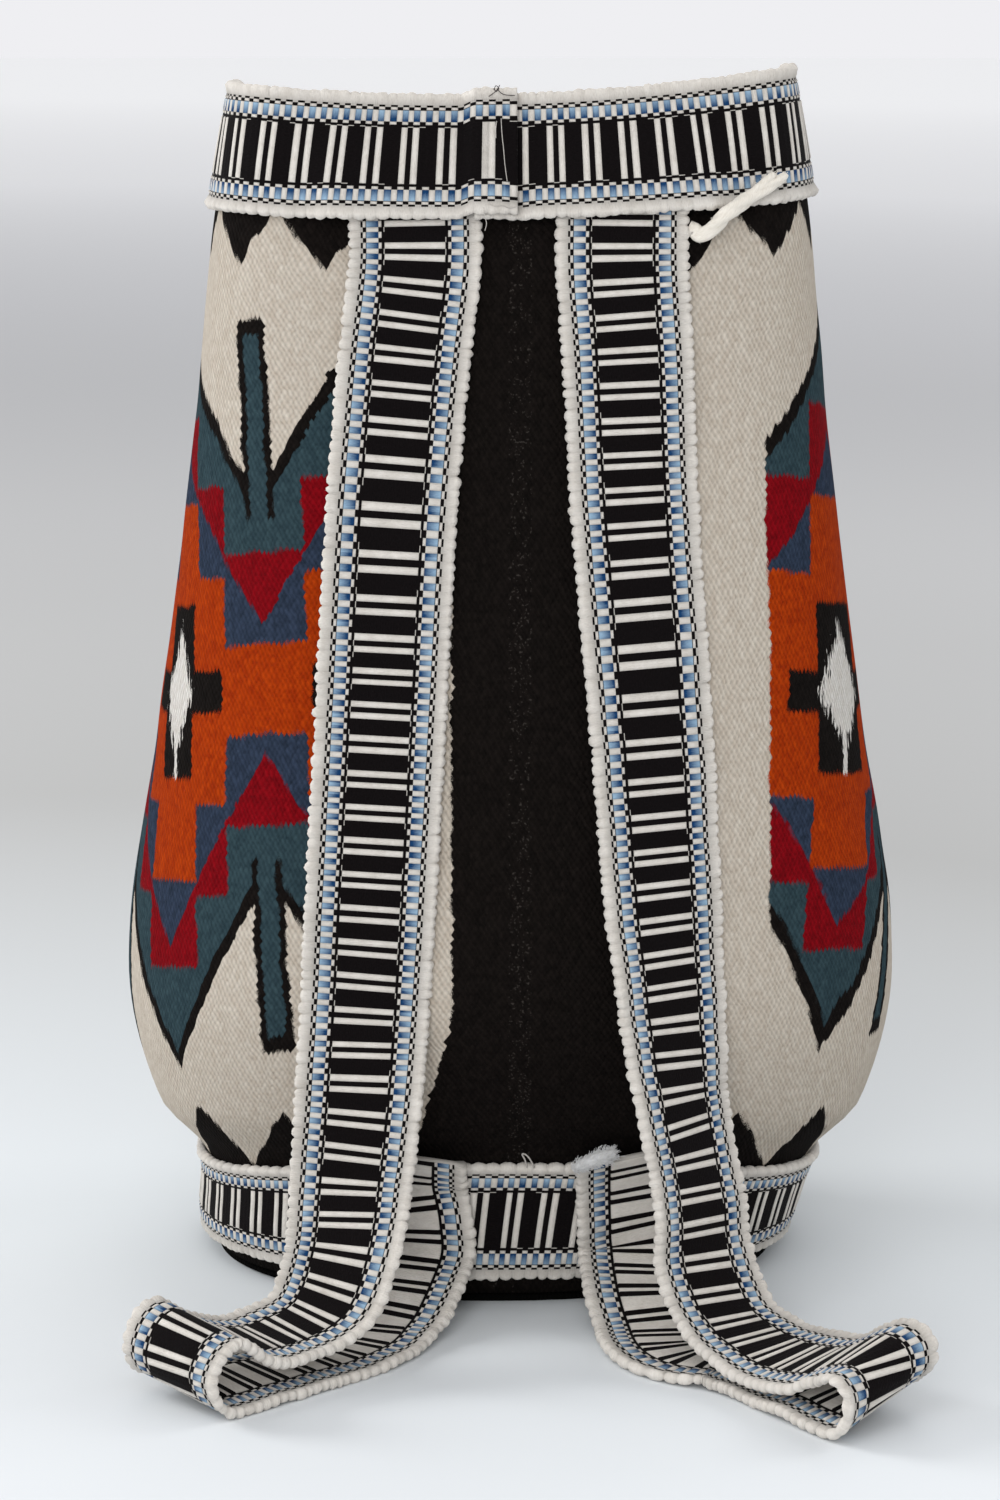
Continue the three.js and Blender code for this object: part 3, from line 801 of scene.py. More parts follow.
def web_columns():
    """Places across the face from left to right, with what is woven between each and the next."""
    right = [w for w, _ in HALF_WEB]
    places = [-w for w in reversed(right)] + RUNG_PLACES + right
    kinds = [kind for _, kind in reversed(HALF_WEB)][:-1]
    kinds += ["rung"] * (len(RUNG_PLACES) + 1)
    kinds += [kind for _, kind in HALF_WEB[1:]]
    return np.array(places), kinds


def pick_rows(length, loose, seed):
    """Places along a belt, a few for each pick, with hand-made unevenness. Returns the places, the
    number of the pick at each and how far through that pick it is."""
    draw = np.random.default_rng(seed)
    at, extra, reach = loose
    starts = [0.0]
    while starts[-1] < length:
        share = BLUE_SHARE if len(starts) % 2 else 1 - BLUE_SHARE
        cycle = CYCLE + extra * math.exp(-(((starts[-1] - at) / reach) ** 2))
        starts.append(starts[-1] + cycle * share * (1 + PICKS_VARY * draw.standard_normal()))
    starts = np.array(starts) * length / starts[-1]
    count = len(starts) - 1
    through = np.arange(PICK_SAMPLES) / PICK_SAMPLES
    places = (starts[:-1, None] + np.diff(starts)[:, None] * through).ravel()
    picks = np.repeat(np.arange(count), PICK_SAMPLES)
    part = np.tile(through, count)
    return np.append(places, length), np.append(picks, count - 1), np.append(part, 1.0)


def blue_and_bar(picks):
    """Whether a pick is a blue one, and whether it makes a bar of the ladder: two of three do."""
    blue = picks % 2 == 0
    return blue, blue & ((picks // 2) % 3 < 2)


def yarn_at(kind, pick, reverse, ticked):
    """The yarn that shows at one place of one pick: cream, black or blue."""
    blue_pick, bar = blue_and_bar(pick)
    if kind == "block":
        return BLUE_SLOT if blue_pick else CREAM_SLOT
    cream = {
        "line": False,
        "tick": ticked and not blue_pick,
        "link": blue_pick,
        "hook": not blue_pick,
        "rung": bar != reverse,
    }
    return CREAM_SLOT if cream[kind] else BLACK_SLOT


def bead_scale(places, beads, seed):
    """How full the selvage is at each place: beads of uneven size, one after another."""
    pitch, neck = beads
    draw = np.random.default_rng(seed)
    count = int(places[-1] / pitch) + SPARE_BEADS
    lengths = pitch * (1 + LENGTHS_VARY * draw.standard_normal(count))
    starts = np.cumsum(lengths) - lengths[0] * draw.random()
    sizes = 1.0 + SIZES_VARY * draw.standard_normal(count)
    necks = neck + NECKS_VARY * draw.standard_normal(count)
    index = np.clip(np.searchsorted(starts, places), 0, count - 1)
    through = 1 - clamp01((starts[index] - places) / lengths[index])
    return mix(necks[index], BEAD_FULL, dome(through)) * sizes[index]


def web_relief(columns, picks, part):
    """How far each place of the web stands out, on the face and on the reverse, from 0 to 1."""
    swell = dome(part)
    blue_pick, bar = blue_and_bar(picks)
    face = np.zeros((len(picks), len(columns)))
    back = face.copy()
    for c, w in enumerate(np.abs(columns)):
        if w < LADDER_EDGE:
            face[:, c] = swell * np.where(bar, FACE_BAR, FACE_GROUND)
            back[:, c] = np.where(bar, BACK_BAR, BACK_GROUND + BACK_DOME * swell)
        elif w in RAISED_LINKS:
            face[:, c] = back[:, c] = swell * np.where(blue_pick, LINK_HIGH, LINK_LOW)
        elif BLOCK_INNER < w < BLOCK_OUTER:
            face[:, c] = back[:, c] = swell * BLOCK_HIGH
    return face, back


def selvage_lobe(places, beads, seed, sign):
    """The beaded edge at one side: places across, heights and fullness, from the face to the reverse."""
    turns = np.linspace(0, math.pi, BEAD_TURNS + 2)[1:-1]
    scale = bead_scale(places, beads, seed)[:, None]
    fuzziness = np.random.default_rng(seed + 50).standard_normal((len(places), BEAD_TURNS))
    full = scale * (1 + BEAD_FUZZ * fuzziness)
    centre = BELT_WIDTH / 2 - BEAD_RADIUS
    across = sign * (centre + BEAD_RADIUS * np.sin(turns) * full * BEAD_WIDE)
    height = (SELVAGE_THICK / 2 + BEAD_PROUD) * np.cos(turns) * full
    fullness = np.broadcast_to(clamp01((scale - BEAD_HOLLOW) / (1 - BEAD_HOLLOW)), across.shape)
    return across, height, fullness


def belt_section(places, relief, style, seed):
    """Places across, heights and fullness round a belt: its face, right edge, reverse and left edge."""
    face, back = relief
    web = np.broadcast_to(web_columns()[0], face.shape)
    fronts = (web, WEB_HALF_THICK + RELIEF * face, face)
    rights = selvage_lobe(places, style.right_beads, seed + 1, 1)
    backs = (web, -(WEB_HALF_THICK + RELIEF * back), back)
    lefts = selvage_lobe(places, style.left_beads, seed + 2, -1)
    section = []
    for front, right, reverse, left in zip(fronts, rights, backs, lefts):
        section.append(np.concatenate([front, right, reverse[:, ::-1], left[:, ::-1]], axis=1))
    return section


def belt_yarns(from_end, picks, kinds, last_bar, seed):
    """The yarn of each face of a belt, pick by pick. from_end is how far each row is from the end."""
    web_faces = len(kinds)
    back_start = web_faces + 1 + BEAD_TURNS
    slots = np.full((len(picks) - 1, 2 * back_start), CREAM_SLOT)
    draw = np.random.default_rng(seed + 100)
    for pick in range(picks[-1] + 1):
        ticked = draw.random(web_faces) < TICK_SHARE
        here = picks[:-1] == pick
        face_yarn = [yarn_at(kind, pick, False, tick) for kind, tick in zip(kinds, ticked)]
        back_yarn = [yarn_at(kind, pick, True, False) for kind in kinds]
        left_over = from_end[:-1][here].mean()
        if last_bar and left_over < last_bar[0]:
            rung = CREAM_SLOT if last_bar[2] < left_over < last_bar[1] else BLACK_SLOT
            face_yarn = [rung if kind == "rung" else yarn for kind, yarn in zip(kinds, face_yarn)]
        slots[here, :web_faces] = face_yarn
        slots[here, back_start : back_start + web_faces] = back_yarn[::-1]
    return slots


def closed_uv(u, v):
    uv = np.stack([u, v], axis=-1)
    return np.concatenate([uv, uv[:, :1]], axis=1)


def belt(name, length, frame_at, style, seed):
    """A length of belt. frame_at(places, across) gives points and normals for each place and across."""
    places, picks, part = pick_rows(length, style.loose, seed)
    columns, kinds = web_columns()
    across, height, fullness = belt_section(places, web_relief(columns, picks, part), style, seed)
    points, normals = frame_at(places, across)
    points = points + normals * height[..., None]
    points[..., 2] = np.maximum(points[..., 2], FLOOR_TOUCH)
    along = np.broadcast_to(places[:, None], across.shape)
    # The relief layer holds how full each place is, for the painted shade in the hollows.
    uvs = {"belt": closed_uv(across, along), "relief": closed_uv(fullness, along)}
    slots = belt_yarns(length - places, picks, kinds, style.last_bar, seed)
    return grid_mesh(name, points, uvs, face_slots=slots, caps=True)


# Edgings
EDGING_MARGIN, EDGING_SAMPLES = 2.0, 25


def strap_ease(points):
    """How far the mouth edging stands off for the straps that are sewn under it."""
    away = np.minimum(np.abs(points[:, 0] - STRAP_TOP_LEFT), np.abs(points[:, 0] - STRAP_TOP_RIGHT))
    ease = BAND_EASE * (1 - smooth((away - BELT_WIDTH / 2 - SELVAGE_THICK) / EASE_RUN_OUT))
    return np.where(points[:, 1] > 0, 0, ease)


def edging_frame(bottom, top, length, start, eased):
    """How an edging lies: round the bag between two levels, its last stretch over its start."""
    lap = BAND_LAP / length
    lapped = SELVAGE_THICK + SEAM_GAP
    edge = BELT_WIDTH / 2 + EDGING_MARGIN

    def frame_at(places, across):
        share = places / length - lap / 2
        turns = start + share
        over = smooth(1 + (share - (1 - lap / 2)) * length / LAP_RISE)
        sample = np.linspace(-edge, edge, EDGING_SAMPLES)
        grid_points, grid_normals = [], []
        for w in sample:
            level = mix(bottom, top, w / BELT_WIDTH + 0.5)
            point, normal = wall(turns, min(level, BAG_HEIGHT)), wall_normal(turns, level)
            point[:, 2] += max(level - BAG_HEIGHT, 0) + LAP_LIFT * over * eased
            ease = strap_ease(point) * clamp01((WEB_EDGE - w) / (2 * WEB_EDGE)) * eased
            stand = SEAM_GAP + SELVAGE_THICK / 2 + over * lapped + ease
            grid_points.append(point + normal * stand[:, None])
            grid_normals.append(normal)
        return spread(sample, grid_points, across), spread(sample, grid_normals, across)

    return frame_at


def spread(sample, grids, across):
    """Values known at even steps across a belt, read at each point's own place across it."""
    grids = np.stack(grids, axis=1)
    at = (across - sample[0]) / (sample[1] - sample[0])
    low = np.clip(at.astype(int), 0, len(sample) - 2)
    share = (at - low)[..., None]
    rows = np.arange(grids.shape[0])[:, None]
    return mix(grids[rows, low], grids[rows, low + 1], share)


# Straps: a station is x, y, z, the heading of the belt's width and its tilt.
def width_at(heading, tilt):
    h, t = math.radians(heading), math.radians(tilt)
    return np.array([math.cos(h) * math.cos(t), math.sin(h) * math.cos(t), math.sin(t)])


def against(x, height, heading, level, stand):
    side = width_at(heading, 0) * BELT_WIDTH / 2
    reach = max(back_at(x + k * side[0], level) + k * side[1] for k in (-1, 0, 1))
    return [x, -(reach + stand), height, heading, 0]


def on_back(x, height, heading):
    return against(x, height, heading, height, STRAP_CLEAR + SELVAGE_THICK / 2)


def on_foot_band(x, height, heading):
    level = height - STRAP_FOOT_LIFT * SLUMP * smooth(height / FOOT_BAND_TOP)
    return against(x, height, heading, level, 2 * SEAM_GAP + 1.5 * SELVAGE_THICK)


def free(x, out, height, heading, tilt=0):
    return [x, -(BELLY_BACK + out), height, heading, tilt]


MOUTH_BAND_BOTTOM = BAG_HEIGHT - math.sqrt(BELT_WIDTH**2 - (SHOULDER_BACK - MOUTH_BACK) ** 2)
FLOOR = SELVAGE_THICK / 2 + FLOOR_CLEAR
FOOT_TOP = FOOT_BAND_TOP + SLUMP + STRAP_END_OVER
STRAP_TOP = MOUTH_BAND_BOTTOM - RIM_SAG + STRAP_TUCK

LEFT_STRAP = [
    on_back(STRAP_TOP_LEFT, STRAP_TOP, -1),
    on_back(STRAP_TOP_LEFT, STRAP_TOP - 20, -1),
    on_back(-37, 345, -1),
    on_back(-41.5, 294, -1),
    on_back(-45.2, 228, -1),
    on_back(-49, 160, -3),
    on_back(-51.5, 118, -7),
    free(-53.5, 11, 88, -12),
    free(-56, 17, 62, -20),
    free(-59, 28, 38, -29),
    free(-66, 36, 21, -38, -2),
    free(-80, 48, 15.8, -43, -5),
    free(-89, 56.5, 16.5, -43.6, -7),
    free(-96.3, 63.6, 20, -43.6, -8),
    free(-102, 69.2, 25.2, -43.6, -8),
    free(-106, 73, 28, -43.6, -8),
    free(-110, 77, 26.5, -43.6, -8),
    free(-113, 79.8, 22, -43.6, -8),
    free(-114.5, 81.2, 16, -43.6, -8),
    free(-113, 79.8, 9.8, -43.6, -8),
    free(-109, 76, 5.4, -43.6, -8),
    free(-101.5, 69, 4.6, -43.6, -7),
    free(-80, 47.5, 3.2, -43, -3),
    free(-60, 27, FLOOR, -41),
    free(-51.5, 14.5, FLOOR + 0.4, -33),
    free(-46.5, 2.5, 4.6, -22),
    free(-42, -7.5, 10, -15),
    on_foot_band(-35.5, 22, -11),
    on_foot_band(-36, 34, -11),
    on_foot_band(STRAP_FOOT_LEFT, 48, -11),
    on_foot_band(STRAP_FOOT_LEFT, FOOT_TOP, -11),
]

RIGHT_STRAP = [
    on_back(STRAP_TOP_RIGHT, STRAP_TOP, 1),
    on_back(STRAP_TOP_RIGHT, STRAP_TOP - 20, 1),
    on_back(40.3, 345, 6),
    on_back(42.8, 294, 12),
    on_back(48, 228, 18),
    on_back(52.8, 160, 25),
    on_back(56.4, 118, 35),
    free(59.6, 10, 89, 44),
    free(63, 13, 70, 48),
    free(66, 17.5, 52, 45),
    free(67.3, 20.5, 36, 41),
    free(70.5, 26, 25, 42),
    free(74.5, 32, 18, 44, 1),
    free(80, 39.5, 14, 45, 3),
    free(92.6, 58, 11.6, 45, 8),
    free(100.5, 69.4, 13.3, 45, 10),
    free(108, 80.5, 17.4, 45, 12),
    free(114, 89, 22.8, 45, 13),
    free(118.4, 95.4, 25.1, 45, 13),
    free(122.1, 100.8, 23.4, 45, 13),
    free(123.8, 103, 18.6, 45, 13),
    free(122.8, 101.8, 12.4, 45, 13),
    free(119.5, 97.2, 8, 45, 13),
    free(104.3, 75, 6.7, 45, 10),
    free(88.7, 52.4, 4.6, 46, 5),
    free(78, 42, FLOOR + 1.3, 49, 2),
    free(68.6, 37.2, FLOOR + 0.4, 47),
    free(60.8, 31.6, FLOOR, 39),
    free(55.4, 22, FLOOR + 0.2, 25),
    free(52.2, 3.5, 4, 12),
    free(49.3, -8, 10.5, 13),
    on_foot_band(46.6, 22, 17),
    on_foot_band(45.8, 34, 18),
    on_foot_band(STRAP_FOOT_RIGHT, 48, 18),
    on_foot_band(STRAP_FOOT_RIGHT, FOOT_TOP, 18),
]

STATION_STEPS = 24
RIPPLE, RIPPLE_WAVES = 0.5, (70, 4)
ROCK, ROCK_WAVES = 0.5, (45, 3)


def strap_frame(stations, seed):
    """How a strap lies, and how long it is. Its edges ripple and it rocks a little from side to side."""
    path = through_points([s[:3] for s in stations], STATION_STEPS)
    at = np.linspace(0, len(stations) - 1, len(path))
    known = np.arange(len(stations))
    heading = np.interp(at, known, [s[3] for s in stations])
    tilt = np.interp(at, known, [s[4] for s in stations])
    along = unit(np.gradient(path, axis=0))
    side = np.array([width_at(h, t) for h, t in zip(heading, tilt)])
    side = unit(side - along * np.sum(side * along, axis=1, keepdims=True))
    normal = np.cross(along, side)
    far = distance_along(path)

    def read(values, places):
        return np.stack([np.interp(places, far, values[:, k]) for k in range(3)], axis=1)

    def frame_at(places, across):
        middle, out, face = read(path, places), read(side, places), read(normal, places)
        to_edge = across / (BELT_WIDTH / 2)
        ripple = RIPPLE * waves(places, *RIPPLE_WAVES, seed)[:, None] * to_edge**2
        rock = ROCK * waves(places, *ROCK_WAVES, seed + 9)[:, None] * to_edge
        points = middle[:, None] + out[:, None] * across[..., None]
        points = points + face[:, None] * (ripple + rock)[..., None]
        return points, np.broadcast_to(face[:, None], points.shape)

    return frame_at, far[-1]


# Body
BODY_COLUMNS = 520
BODY_ROW = 4.4
INNER_ROWS = 24
SWELL, SWELL_FROM, SWELL_TO, SWELL_RUN_IN = 0.9, 56.0, 385.0, 30.0
SWELL_GIRTH, SWELL_SLANT, SWELL_LONGEST = 760.0, 0.7, 190.0
SWELL_DRIFT, SWELL_TALLEST, SWELL_WAVES = 90.0, 150.0, 4
SOLE_SIDES = 180
SOLE_RINGS = [0.02, 0.4, 0.8, 0.985]
SOLE_ROUNDING = 0.8


def turn_at(u, level):
    """Where on the ring a line of the cloth runs. The back and the sides show the cloth at its true
    width, and the front takes up what is over."""
    length = ring_length(level)
    side = np.abs(u)
    taken_up = TRUE_TO + (side - TRUE_TO) * (length / 2 - TRUE_TO) / (CLOTH_HALF - TRUE_TO)
    return np.sign(u) * np.where(side < TRUE_TO, side, taken_up) / length


def swell_at(turn, level):
    """How far the soft cloth stands in or out between the edgings."""
    between_bands = smooth((level - SWELL_FROM) / SWELL_RUN_IN) * smooth((SWELL_TO - level) / SWELL_RUN_IN)
    round_way = waves(turn * SWELL_GIRTH + level * SWELL_SLANT, SWELL_LONGEST, SWELL_WAVES, 5)
    up_way = waves(level + turn * SWELL_DRIFT, SWELL_TALLEST, SWELL_WAVES, 6)
    return between_bands * SWELL * round_way * up_way


def body():
    bottom = BODY_CLOTH + SOLE_SEAM
    top = BAG_HEIGHT - SELVAGE_THICK
    outer = [(level, 0.0) for level in np.linspace(bottom, top, int((top - bottom) / BODY_ROW))]
    inner = [(level, BODY_CLOTH) for level in np.linspace(top, bottom, INNER_ROWS)]
    u = np.linspace(-CLOTH_HALF, CLOTH_HALF, BODY_COLUMNS + 1)
    points, cloth = [], []
    for level, inset in outer + inner:
        turn = turn_at(u[:-1], level)
        out = swell_at(turn, level)[:, None]
        points.append(wall(turn, level, inset) + wall_normal(turn, level) * out)
        cloth.append(np.stack([u, np.full(BODY_COLUMNS + 1, level)], axis=1))
    return grid_mesh("tapestry_body", np.array(points), {"cloth": np.array(cloth)}, loop=True)


def sole():
    """A flat round of cloth with a soft rim, in rings from its middle out and back."""
    edge = wall(np.arange(SOLE_SIDES) / SOLE_SIDES, BODY_CLOTH / 2) * [1, 1, 0]
    middle = np.array([BASE_SHIFT, 0, 0])
    profile = [(share, 0.0) for share in SOLE_RINGS]
    profile += [(1.0, SOLE_ROUNDING), (1.0, BODY_CLOTH - SOLE_ROUNDING)]
    profile += [(share, BODY_CLOTH) for share in reversed(SOLE_RINGS)]
    rings = np.array([middle + (edge - middle) * share + [0, 0, z] for share, z in profile])
    uv = np.concatenate([rings, rings[:, :1]], axis=1)[..., :2]
    return grid_mesh("wool_sole", rings, {"cloth": uv}, caps=True)


# Loose fibres: a fibre goes out and along by these shares of its length, in two steps.
FIBRE = 0.09
FIBRE_ROOT, FIBRE_SHORTEST, FIBRE_CURL = 0.85, 0.5, 0.22
FIBRE_STEPS = [(0.4, 0.4), (0.15, 0.5)]
FIBRE_SAMPLES = 3


def fuzz(path, radius, count, reach, seed):
    """Fine curling fibres that leave a yarn all round and lean along it."""
    draw = np.random.default_rng(seed)
    radius = np.broadcast_to(np.asarray(radius, float), (len(path),))
    along = unit(np.gradient(path, axis=0))
    found = []
    for _ in range(count):
        i = int(draw.integers(0, len(path)))
        out = draw.standard_normal(3)
        out -= along[i] * (out @ along[i])
        out /= np.linalg.norm(out)
        points = [path[i] + out * radius[i] * FIBRE_ROOT]
        length = reach * draw.uniform(FIBRE_SHORTEST, 1.0)
        for outward, onward in FIBRE_STEPS:
            curl = FIBRE_CURL * reach * draw.standard_normal(3)
            points.append(points[-1] + out * length * outward + along[i] * length * onward + curl)
        found.append(through_points(points, FIBRE_SAMPLES))
    return found


# Yarn tail. Fibres are given as how many and how long.
YARN_ROUTE = [
    (63.4, -94.6, 388.3),
    (65.0, -95.4, 386.9),
    (67.8, -96.6, 387.9),
    (71.0, -97.8, 391.0),
    (74.5, -97.6, 394.4),
    (78.6, -95.2, 397.2),
    (83.9, -91.4, 400.4),
    (89.6, -87.6, 404.0),
    (95.2, -83.6, 407.6),
]
YARN_STEPS = 10
YARN_SIDES = 24
YARN_TUCK = np.array([-2.0, 0.5, 0.7])
YARN_FULL, YARN_PARTED = 1.12, 0.72
LUMPS, LUMPS_LONGEST = 0.05, 11
PLY_DEPTH, PLY_TWIST, PLY_COUNT = 0.3, 0.12, 3
MAIN_DRIFT = np.array([0.4, -0.3, -0.7])
MAIN_END = (1.012, 0.05)
STRAND_FROM, STRAND_TO = 0.5, 0.9
STRAND_DRIFT = np.array([-0.8, -0.9, 1.9])
STRAND_RADII = (1.9, 1.45)
STRAND_END = (1.02, 0.1)
STRAND_FRAYED = 14
MAIN_FIBRES, STRAND_FIBRES = (70, 1.1), (30, 1.5)


def rounding(share, end, run):
    """How a yarn's end is rounded off over a last run."""
    return np.sqrt(clamp01((end - share) / run))


def yarn_tail():
    """A soft unspun yarn. One strand comes apart from it and ends before the rest does."""
    path = through_points(YARN_ROUTE, YARN_STEPS)
    far = distance_along(path)
    share = far / far[-1]
    lumps = 1 + LUMPS * waves(far, LUMPS_LONGEST, 4, 71)
    parting = smooth((share - STRAND_FROM) / (1 - STRAND_FROM))
    main = path + parting[:, None] * MAIN_DRIFT
    main[0] = main[0] + YARN_TUCK
    main_radius = YARN / 2 * mix(YARN_FULL, YARN_PARTED, parting) * lumps * rounding(share, *MAIN_END)
    turn = np.arange(YARN_SIDES) * 2 * math.pi / YARN_SIDES
    twist = turn[None, :] - far[:, None] * PLY_TWIST
    plies = 1 + PLY_DEPTH * np.abs(np.sin(PLY_COUNT / 2 * twist)) - PLY_DEPTH / 2
    part = (share > STRAND_FROM) & (share < STRAND_TO)
    run = (share[part] - STRAND_FROM) / (STRAND_TO - STRAND_FROM)
    strand = path[part] + run[:, None] * STRAND_DRIFT
    strand_radius = mix(*STRAND_RADII, run) * lumps[part] * rounding(run, *STRAND_END)
    fibres = fuzz(main, main_radius, *MAIN_FIBRES, 72)
    fibres += fuzz(strand[-STRAND_FRAYED:], strand_radius[-STRAND_FRAYED:], *STRAND_FIBRES, 73)
    radii = [main_radius[:, None] * plies, strand_radius] + [FIBRE] * len(fibres)
    return tubes_mesh("yarn_tail", [main, strand] + fibres, radii, YARN_SIDES), path, far[-1]


# Tuft: places along it, with its radius at each.
TUFT = [
    (22.0, -110.3, 57.0, 1.4),
    (25.4, -111.2, 59.0, 2.7),
    (29.4, -111.8, 60.9, 3.1),
    (33.6, -111.8, 62.4, 3.0),
    (36.6, -111.4, 63.2, 2.0),
]
TUFT_STEPS, TUFT_SIDES = 8, 8
TUFT_CORE, TUFT_LUMPS, TUFT_LUMPS_LONGEST = 0.78, 0.1, 0.7
TUFT_FIBRES = (620, 2.0)


def tuft():
    """The frayed end of a yarn, at the corner of the right strap's lower end."""
    path = through_points([point[:3] for point in TUFT], TUFT_STEPS)
    share = np.linspace(0, len(TUFT) - 1, len(path))
    radius = np.interp(share, np.arange(len(TUFT)), [point[3] for point in TUFT])
    radius = radius * (TUFT_CORE + TUFT_LUMPS * waves(share, TUFT_LUMPS_LONGEST, 4, 82))
    fibres = fuzz(path, radius, *TUFT_FIBRES, 83)
    return tubes_mesh("yarn_tuft", [path] + fibres, [radius] + [FIBRE] * len(fibres), TUFT_SIDES)


# Sewing threads. A place on the lap is how far before the end of the edging and how far across.
LAP_SHIFT = -5.0
SEWING = 0.15
SEWING_STEPS = 5
LAP_THREAD_STAND, LAP_KNOT_STAND = 1.75, 2.0
LAP_THREADS = [
    [(5.5, 11.5), (5.2, 6.0), (4.6, 0.0), (4.1, -6.0), (3.4, -11.5)],
    [(7.0, 10.5), (7.3, 7.5), (7.2, 4.2)],
    [(9.5, -19.5), (7.2, -20.6), (5.0, -20.2), (2.6, -21.0), (0.6, -20.4)],
    [(11.0, -21.0), (10.6, -24.0), (10.0, -26.5), (10.5, -29.0)],
]
LAP_KNOT = [
    [(9.8, 19.6), (8.4, 20.6), (7.0, 22.0), (6.0, 23.6)],
    [(8.2, 22.4), (7.2, 21.4), (6.4, 22.6), (7.4, 23.4), (8.0, 22.0)],
    [(7.0, 22.2), (5.0, 20.4), (3.0, 19.9), (0.8, 19.8)],
]
FOOT_THREAD_RADIUS, FOOT_THREAD_STEPS = 0.3, 6
FOOT_THREAD = [
    (5.6, -102.2, 55.5),
    (4.9, -103.2, 58.6),
    (3.9, -103.6, 60.8),
    (5.2, -103.4, 60.5),
    (6.8, -103.2, 58.6),
    (8.2, -102.2, 55.4),
]


def lap_threads(name, frame_at, length, runs, stand):
    """Sewing threads on the lap of an edging."""
    paths = []
    for run in runs:
        before, across = np.array(run).T
        points, normals = frame_at(length - before, across[:, None])
        paths.append(through_points((points + normals * stand)[:, 0], SEWING_STEPS))
    return tubes_mesh(name, paths, [SEWING] * len(paths))


# Camera and stage, in metres
CAMERA_AT, CAMERA_DOWN, CAMERA_LENS = (-0.004, -1.5, 0.455), 10.05, 96.9
FLOOR_RADIUS, FLOOR_SIDES = 80.0, 96
FLOOR_CURVE = 0.4
FLOOR_ROUGHNESS, FLOOR_SPECULAR = 0.8, 0.1
# The floor's far glow is painted light, and its darker tones behind the object and to its right are painted
# shade.
FAR_GLOW, FAR_GLOW_FROM, FAR_GLOW_OVER, GLOW_TONE = 0.21, 2.0, 9.0, "fbfbff"
SIDE_FLOOR = 1.2
RIGHT_FLOOR = 0.8
BEHIND_FROM = 0.6
SIDE_TONE = "e2e5e8"
FLOOR_TONES = [
    (-0.4, "f0f3f5"),
    (0.05, "d9dee1"),
    (0.9, "aeaead"),
    (1.8, "b4b4b4"),
    (5.5, "d2d2d4"),
    (27.0, "ffffff"),
]
WORLD_TONE, WORLD_STRENGTH, BACKGROUND_TONE = "f4f5f7", 0.71, "efeff2"
LAMPS_AIM = np.array([0, 0, 0.2])

# Lamps: place, size and watts.
LAMPS = {
    "key": ((-0.7, -1.8, 2.1), 1.6, 13),
    "low": ((-0.4, -3.4, 1.1), 1.0, 35),
    "left": ((-3.2, 1.1, 1.7), 1.6, 70),
    "right": ((2.8, 0.9, 2.2), 1.4, 19),
    "back": ((0.3, 1.8, 2.0), 1.6, 12),
}


def camera():
    data = bpy.data.cameras.new("camera")
    data.lens = CAMERA_LENS
    obj = add_object("camera", data)
    obj.location = CAMERA_AT
    obj.rotation_euler = (math.radians(90 - CAMERA_DOWN), 0, 0)
    bpy.context.scene.camera = obj


def floor_ramp(far):
    """The floor's tone at each distance behind the object."""
    first, last = FLOOR_TONES[0][0], FLOOR_TONES[-1][0]
    share = ((far - first) / (last - first)).at_least(0) ** FLOOR_CURVE
    ramp = add_node(far.socket, "ShaderNodeValToRGB", {0: share})
    stops = ramp.color_ramp.elements
    for k, (distance, code) in enumerate(FLOOR_TONES):
        at = ((distance - first) / (last - first)) ** FLOOR_CURVE
        stop = stops[k] if k < 2 else stops.new(at)
        stop.position = at
        stop.color = linear(code)
    return ramp.outputs[0]


def floor_material():
    """A pale sweep: white in front, a little darker behind the object and towards its right, and paler
    again far off. The darker stretch is painted shade, where light falls off; far off the floor also glows,
    as painted light.
    """
    inputs = {"Roughness": FLOOR_ROUGHNESS, "Specular IOR Level": FLOOR_SPECULAR}
    material, shader = new_material("floor", inputs)
    x, y, _ = parts_of(add_node(shader, "ShaderNodeNewGeometry", {}).outputs["Position"])
    reach = (x * x + y * y) ** 0.5
    far = (y + x.at_least(0) * RIGHT_FLOOR).at_least(reach - SIDE_FLOOR)
    behind = ((y + BEHIND_FROM) / (reach + BEHIND_FROM)).at_least(far / FLOOR_TONES[-1][0]).clamp()
    colour = blend(behind, SIDE_TONE, floor_ramp(far))
    glow = ((far - FAR_GLOW_FROM) / FAR_GLOW_OVER).clamp() * FAR_GLOW
    feed(shader, {"Base Color": colour, "Emission Color": GLOW_TONE, "Emission Strength": glow})
    return material


def studio_world():
    """An even pale light, and a pale background where the camera looks past the floor."""
    world = bpy.data.worlds.new("studio")
    world.use_nodes = True
    nodes = world.node_tree.nodes
    light = nodes["Background"]
    feed(light, {"Color": WORLD_TONE, "Strength": WORLD_STRENGTH})
    seen = add_node(light, "ShaderNodeBackground", {"Color": BACKGROUND_TONE})
    to_camera = add_node(light, "ShaderNodeLightPath", {}).outputs["Is Camera Ray"]
    both = add_node(light, "ShaderNodeMixShader", {0: to_camera, 1: light.outputs[0], 2: seen.outputs[0]})
    feed(nodes["World Output"], {0: both.outputs[0]})
    bpy.context.scene.world = world


def lamp(name, at, size, watts):
    data = bpy.data.lights.new(name, "AREA")
    data.energy = watts
    data.size = size
    obj = add_object(name, data)
    obj.location = at
    obj.visible_camera = False
    x, y, z = LAMPS_AIM - np.array(at)
    obj.rotation_euler = (math.atan2(math.hypot(x, y), -z), 0, math.atan2(-x, y))


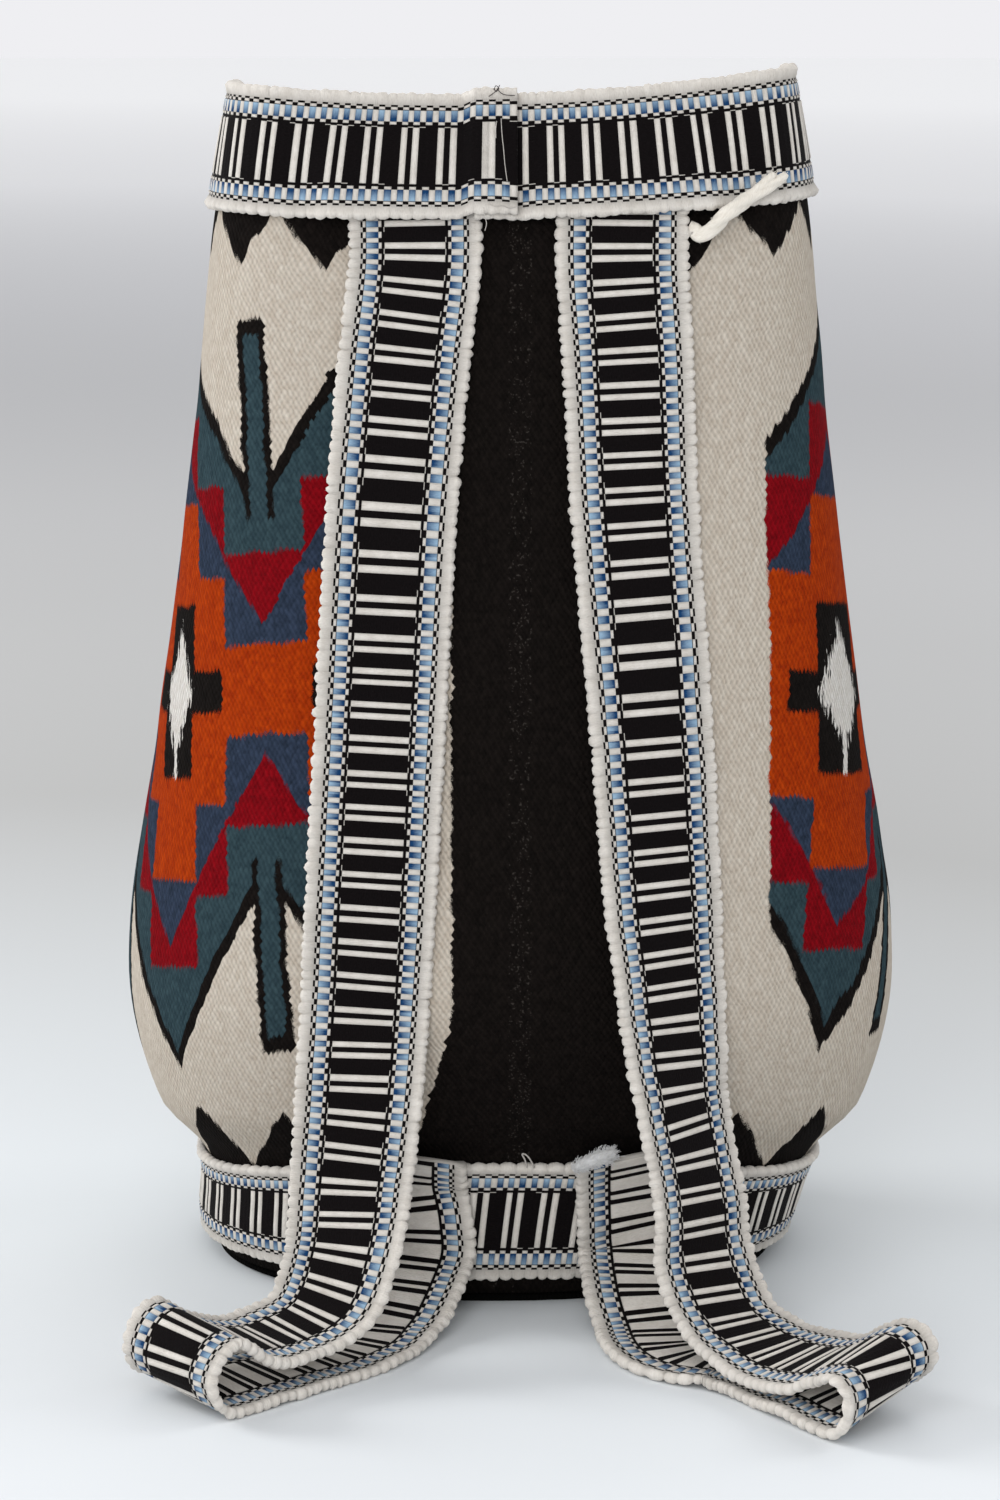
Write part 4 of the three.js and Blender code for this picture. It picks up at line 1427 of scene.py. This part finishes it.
def stage():
    bpy.ops.mesh.primitive_circle_add(vertices=FLOOR_SIDES, radius=FLOOR_RADIUS, fill_type="NGON")
    floor = bpy.context.object
    floor.name = "floor"
    floor.data.materials.append(floor_material())
    studio_world()
    for name, (at, size, watts) in LAMPS.items():
        lamp(name, at, size, watts)
    bpy.context.scene.view_settings.view_transform = "Standard"


# The bag, piece by piece
camera()
tail, tail_path, tail_length = yarn_tail()
place(tail, "tie_yarn", [loose_wool("yarn_cream", ("cfc6b8", "f6f1e8"), 0.3)])

bag = place(body(), "body_cloth", [tapestry()])
base = place(sole(), "base_cloth", [plain_wool("sole_wool", SOLE_SHADED_TONES)])

belt_materials = [belt_cream(), belt_black(), belt_blue()]
mouth_round = ring_length(BAG_HEIGHT)
foot_round = ring_length(FOOT_BAND_BOTTOM)
mouth_frame = edging_frame(MOUTH_BAND_BOTTOM, BAG_HEIGHT, mouth_round, LAP_SHIFT / mouth_round, 1.0)
foot_frame = edging_frame(FOOT_BAND_BOTTOM, FOOT_BAND_TOP, foot_round, 0.5, 0.0)
left_frame, left_length = strap_frame(LEFT_STRAP, 21)
right_frame, right_length = strap_frame(RIGHT_STRAP, 22)
mouth_length = mouth_round + BAND_LAP
foot_length = foot_round + BAND_LAP

tuft_wool = loose_wool("tuft_wool", ("b9bcc2", "eeebe6"), 0.2)
sewing_light = loose_wool("sewing_light", ("9a948e", "d0cbc5"), 0.1)
sewing_dark = loose_wool("sewing_dark", ("2a2628", "57504e"), 0.05)
right_tuft = place(tuft(), None, [tuft_wool])
lap_light = lap_threads("lap_thread", mouth_frame, mouth_length, LAP_THREADS, LAP_THREAD_STAND)
lap_dark = lap_threads("lap_knot", mouth_frame, mouth_length, LAP_KNOT, LAP_KNOT_STAND)
foot_path = through_points(FOOT_THREAD, FOOT_THREAD_STEPS)
foot_thread = tubes_mesh("foot_thread", [foot_path], [FOOT_THREAD_RADIUS])
place(lap_light, None, [sewing_light])
place(lap_dark, None, [sewing_dark])
place(foot_thread, None, [sewing_light])

belts = [
    ("mouth_belt", "top_band", "top_belt", mouth_length, mouth_frame, MOUTH, [lap_light, lap_dark]),
    ("foot_belt", "bottom_band", "bottom_belt", foot_length, foot_frame, FOOT, [foot_thread]),
    ("left_belt", "strap_left", "left_strap_belt", left_length, left_frame, LEFT, []),
    ("right_belt", "strap_right", "right_strap_belt", right_length, right_frame, RIGHT, [right_tuft]),
]
for number, (name, node, slot, length, frame_at, style, on_it) in enumerate(belts):
    piece = place(belt(name, length, frame_at, style, 10 * number + 3), node, belt_materials)

stage()
